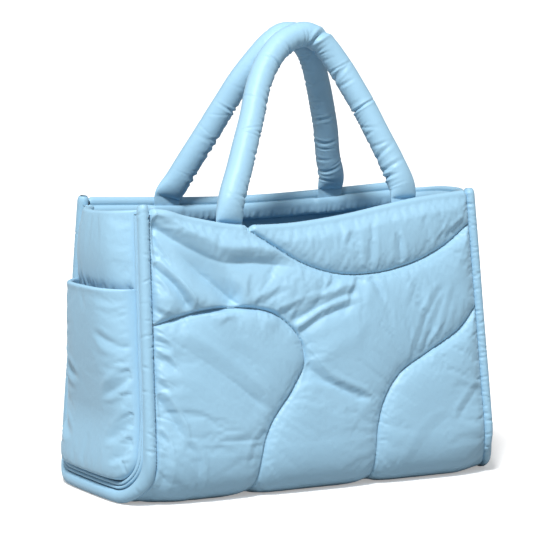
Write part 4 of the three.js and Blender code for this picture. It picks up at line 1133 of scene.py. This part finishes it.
def handle_piece(word, plan, seed):
    rng = np.random.default_rng(seed)
    line = even_points(handle_line(plan), 0.9)
    along = length_along(line)
    length = along[-1]
    ahead = np.gradient(line, axis=0)
    ahead /= np.linalg.norm(ahead, axis=1)[:, None]
    outward = np.cross(ahead, np.array([0.0, 1.0, 0.0]))
    outward /= np.linalg.norm(outward, axis=1)[:, None]
    through = np.cross(outward, ahead)
    # outward points away from the arch's hollow
    if outward[len(line) // 2][2] < 0:
        outward, through = -outward, -through
    angle = ring_angles(HANDLE_SIDES)
    at = along[:, None]
    inside = tube_creases(rng, length, 25, 2.6, centre=math.pi, spread=1.4, width=(0.9, 1.8))
    inside += tube_creases(rng, length, 8, 1.3, centre=math.pi, spread=0.8, width=(0.6, 1.3))
    low = line[:, 2] < BAG_HEIGHT + 100
    bend = along[np.argmin(np.abs(line[:, 0] - plan["bend"]) + 1000 * low)]
    inside.append({"at": bend, "angle": math.pi / 2, "spread": 1.5, "depth": 4.0, "width": 2.2, "lean": 0.5})
    around = tube_creases(rng, length, 17, 0.6, width=(0.6, 1.2))
    to_end = np.minimum(at, length - at)
    tab_end = TAB_DEPTH + TAB_RISE
    round_share = puff(np.maximum(to_end - tab_end, 0), SWELL)
    lumps = 1 + 0.015 * np.sin(at / 19 + seed) + 0.01 * np.sin(at / 8.1 + 2 * seed) * np.cos(angle)
    radius = HANDLE_RADIUS * lumps
    dent = crease_depth(inside + around, at, angle, HANDLE_RADIUS) * smoothstep(round_share, 0.5, 1)
    flare = FOOT_FLARE * np.exp(-np.maximum(to_end - tab_end, 0) / SWELL)
    wide = mix(TAB_WIDTH / 2, radius + flare, round_share) - dent
    thick = mix(TAB_THICKNESS / 2, radius, round_share) - dent
    rings = (
        line[:, None, :]
        + (wide * np.cos(angle))[..., None] * outward[:, None, :]
        + (thick * np.sin(angle))[..., None] * through[:, None, :]
    )
    return finish_piece(ring_piece(word + "_grip", rings, GRIP), "handle_cloth", word + "_handle", fill=0.9)


# The base and the stitching.

def base_piece():
    half = BASE_WIDTH / 2 - FIT_GAP / 2
    y = np.linspace(-half, half, 40)[None, :]
    end = BAG_WIDTH / 2 + foot_bow(y, SEAM_FLOOR) - FIT_GAP
    x = end * np.linspace(-1, 1, 190)[:, None]
    to_edge = np.minimum(end - np.abs(x), half - np.abs(y))
    low = (SEAM_FLOOR - SEAM_LEVEL) * (1 - puff(to_edge, SEAM_FLOOR - SEAM_LEVEL))
    under = np.stack([x + 0 * y, y + 0 * x, low], axis=-1)
    high = SEAM_FLOOR + WALL_INNER + 0.5 * np.sin(x / 21) * np.sin(y / 13)
    over = np.stack([x + 0 * y, y + 0 * x, high], axis=-1)
    rings = np.concatenate([under, over[:, ::-1]], axis=1)
    lined = np.zeros(rings.shape[1], np.int32)
    lined[40:] = 1
    piece = ring_piece("bag_base", rings, SHELL, SHADED_LINING, lined)
    return finish_piece(piece, "quilted_shell", "base_panel", fill=0.5)


def stitches(name, lines, slot, length=2.7, gap=0.9, radius=0.28):
    """Thread along lines of points in space: one short rounded bead of thread per stitch."""
    points, faces = [], []
    sides = 6
    for line in lines:
        line = np.asarray(line, float)
        marks = length_along(line)
        for start in np.arange(gap, marks[-1] - length, length + gap):
            at = start + length * np.array([0.0, 0.12, 0.5, 0.88, 1.0])
            centre = np.stack([np.interp(at, marks, line[:, k]) for k in range(3)], axis=1)
            ahead = centre[-1] - centre[0]
            ahead /= np.linalg.norm(ahead)
            helper = np.array([0.0, 0.0, 1.0]) if abs(ahead[2]) < 0.8 else np.array([0.0, 1.0, 0.0])
            u = np.cross(ahead, helper)
            u /= np.linalg.norm(u)
            v = np.cross(ahead, u)
            size = radius * np.array([0.25, 0.85, 1.0, 0.85, 0.25])
            turn = np.arange(sides) * 2 * math.pi / sides
            ring = centre[:, None, :] + size[:, None, None] * (
                np.cos(turn)[None, :, None] * u + np.sin(turn)[None, :, None] * v)
            first = len(points)
            points.extend(ring.reshape(-1, 3).tolist())
            faces.extend([[first + k for k in face] for face in ring_faces(5, sides)])
            faces.append([first + k for k in range(sides)])
            faces.append([first + 4 * sides + k for k in range(sides)][::-1])
    return finish_piece(mesh_piece(name, np.array(points), faces, THREAD_AND_GROOVE_SHADE), slot)


def quilting_stitches(name, side, rim, seams):
    lines = []
    for table in seams:
        line = even_points(flat_line(table), 1.0)
        top = rim_along(rim, line[:, 0] / wall_edge(line[:, 1]))
        line = line[(line[:, 1] > WALL_START + 2) & (line[:, 1] < top - 1)]
        lines.append(wall_place(side, rim, line[:, 0], line[:, 1], SEAM_LEVEL + 0.25))
    return stitches(name, lines, "quilted_shell")


def binding_stitches():
    lines = []
    near = GUSSET_INNER + GUSSET_THICKNESS + BINDING_GAP
    out = near + 0.6 + BINDING_RISE * 0.68 + 0.1
    s, front = u_stations(1.0, 6.0)
    for end in (-1, 1):
        lines.append(u_place(s, front, end, out, -(GUSSET_INSET + FIT_GAP + BINDING_WIDTH / 2)))
    return stitches("binding_stitches", lines, "edge_trim")


def seam_stitches():
    """The thread along the seams between the rolls, the walls and the bindings, thick and dark so that it also
    serves as painted shade in the seams' grooves.
    """
    lines = []
    for side, rim in ((-1, FRONT_RIM), (1, BACK_RIM)):
        for end in (-1, 1):
            s = np.arange(ARC_START + 12, float(rim_along(rim, end)) - 3, 1.0)
            lines.append(wall_place(side, rim, end * (wall_edge(s) + FIT_GAP), s, SEAM_LEVEL + 0.9))
    s, front = u_stations(1.0, 6.0)
    near = GUSSET_INNER + GUSSET_THICKNESS + BINDING_GAP
    for end in (-1, 1):
        for out, inset in ((near + 3.2, GUSSET_INSET + 0.1), (near + 2.2, BINDING_INSET)):
            lines.append(u_place(s, front, end, out, -inset))
    return stitches("seam_stitches", lines, "edge_trim", length=2.6, gap=0.6, radius=0.42)


# Stage and light.

def make_stage():
    """A pale floor that curves up into a backdrop behind the bag."""
    level, bend = 5.0, 2.0
    profile = [(-6.0, 0.0), (level, 0.0)]
    for turn in np.linspace(0, math.pi / 2, 16)[1:]:
        profile.append((level + bend * math.sin(turn), bend - bend * math.cos(turn)))
    profile.append((level + bend, 8.0))
    points, faces = [], []
    for x in (-12.0, 12.0):
        points += [(x, y, z) for y, z in profile]
    n = len(profile)
    faces = [[k, k + 1, n + k + 1, n + k] for k in range(n - 1)]
    mesh = bpy.data.meshes.new("studio_floor")
    mesh.from_pydata(points, [], faces)
    mesh.polygons.foreach_set("use_smooth", np.ones(len(mesh.polygons), bool))
    material = Nodes("studio_paper")
    seen = material.add("ShaderNodeLightPath").outputs["Is Camera Ray"]
    tone = material.add("ShaderNodeMapRange", {"Value": seen, "To Min": 0.42, "To Max": 0.86})
    place = material.add("ShaderNodeTexCoord").outputs["Object"]
    far = material.add("ShaderNodeVectorMath", {0: place}, operation="LENGTH").outputs["Value"]
    even = material.add("ShaderNodeMapRange", {"Value": far, "From Min": 0.2, "From Max": 1.6, "To Min": 0.35,
                                               "To Max": 1.0}).outputs["Result"]
    glow = material.add("ShaderNodeMapRange", {"Value": seen, "To Min": 0.0, "To Max": even})
    material.link(tone.outputs["Result"], "Base Color")
    material.link(glow.outputs["Result"], "Emission Strength")
    material.shade({"Emission Color": (1, 1, 1, 1), "Roughness": 1.0, "Specular IOR Level": 0.0})
    mesh.materials.append(material.material)
    floor = bpy.data.objects.new("studio_floor", mesh)
    bpy.context.scene.collection.objects.link(floor)


def area_light(name, place, target, size, power):
    data = bpy.data.lights.new(name, "AREA")
    data.shape = "DISK"
    data.size = size
    data.energy = power
    lamp = bpy.data.objects.new(name, data)
    lamp.location = place
    lamp.rotation_euler = (Vector(target) - Vector(place)).to_track_quat("-Z", "Y").to_euler()
    bpy.context.scene.collection.objects.link(lamp)


def make_light():
    world = bpy.data.worlds.new("studio")
    world.use_nodes = True
    world.node_tree.nodes["Background"].inputs["Color"].default_value = (1, 1, 1, 1)
    world.node_tree.nodes["Background"].inputs["Strength"].default_value = 0.29
    bpy.context.scene.world = world
    bpy.context.scene.view_settings.view_transform = "Standard"
    area_light("key", (-1.5, -1.9, 3.4), (0, 0, 0.2), size=0.8, power=182)
    area_light("side", (-2.4, 0.7, 2.2), (-0.2, 0, 0.15), size=1.4, power=12)


make_camera()
make_stage()
make_light()

wall_piece("quilted_front", -1, FRONT_RIM, FRONT_SEAMS, FRONT_FOLDS, "front_panel", RNG_SEED)
wall_piece("quilted_back", 1, BACK_RIM, BACK_SEAMS, BACK_FOLDS, "back_panel", RNG_SEED + 1)
base_piece()
for word, end in (("left", -1), ("right", 1)):
    gusset_piece(word, end, RNG_SEED + 4 + end)
    pocket_piece(word, end, RNG_SEED + 8 + end)
    roll_piece(word, end, RNG_SEED + 12 + end)
    binding_piece(word, end, RNG_SEED + 16 + end)
    end_hem(word, end, RNG_SEED + 20 + end)
wall_hem("front", -1, FRONT_RIM, RNG_SEED + 30)
wall_hem("back", 1, BACK_RIM, RNG_SEED + 31)
for word, plan in HANDLES.items():
    handle_piece(word, plan, RNG_SEED + 40 + plan["side"])
quilting_stitches("front_quilting", -1, FRONT_RIM, FRONT_SEAMS)
quilting_stitches("back_quilting", 1, BACK_RIM, BACK_SEAMS)
binding_stitches()
seam_stitches()
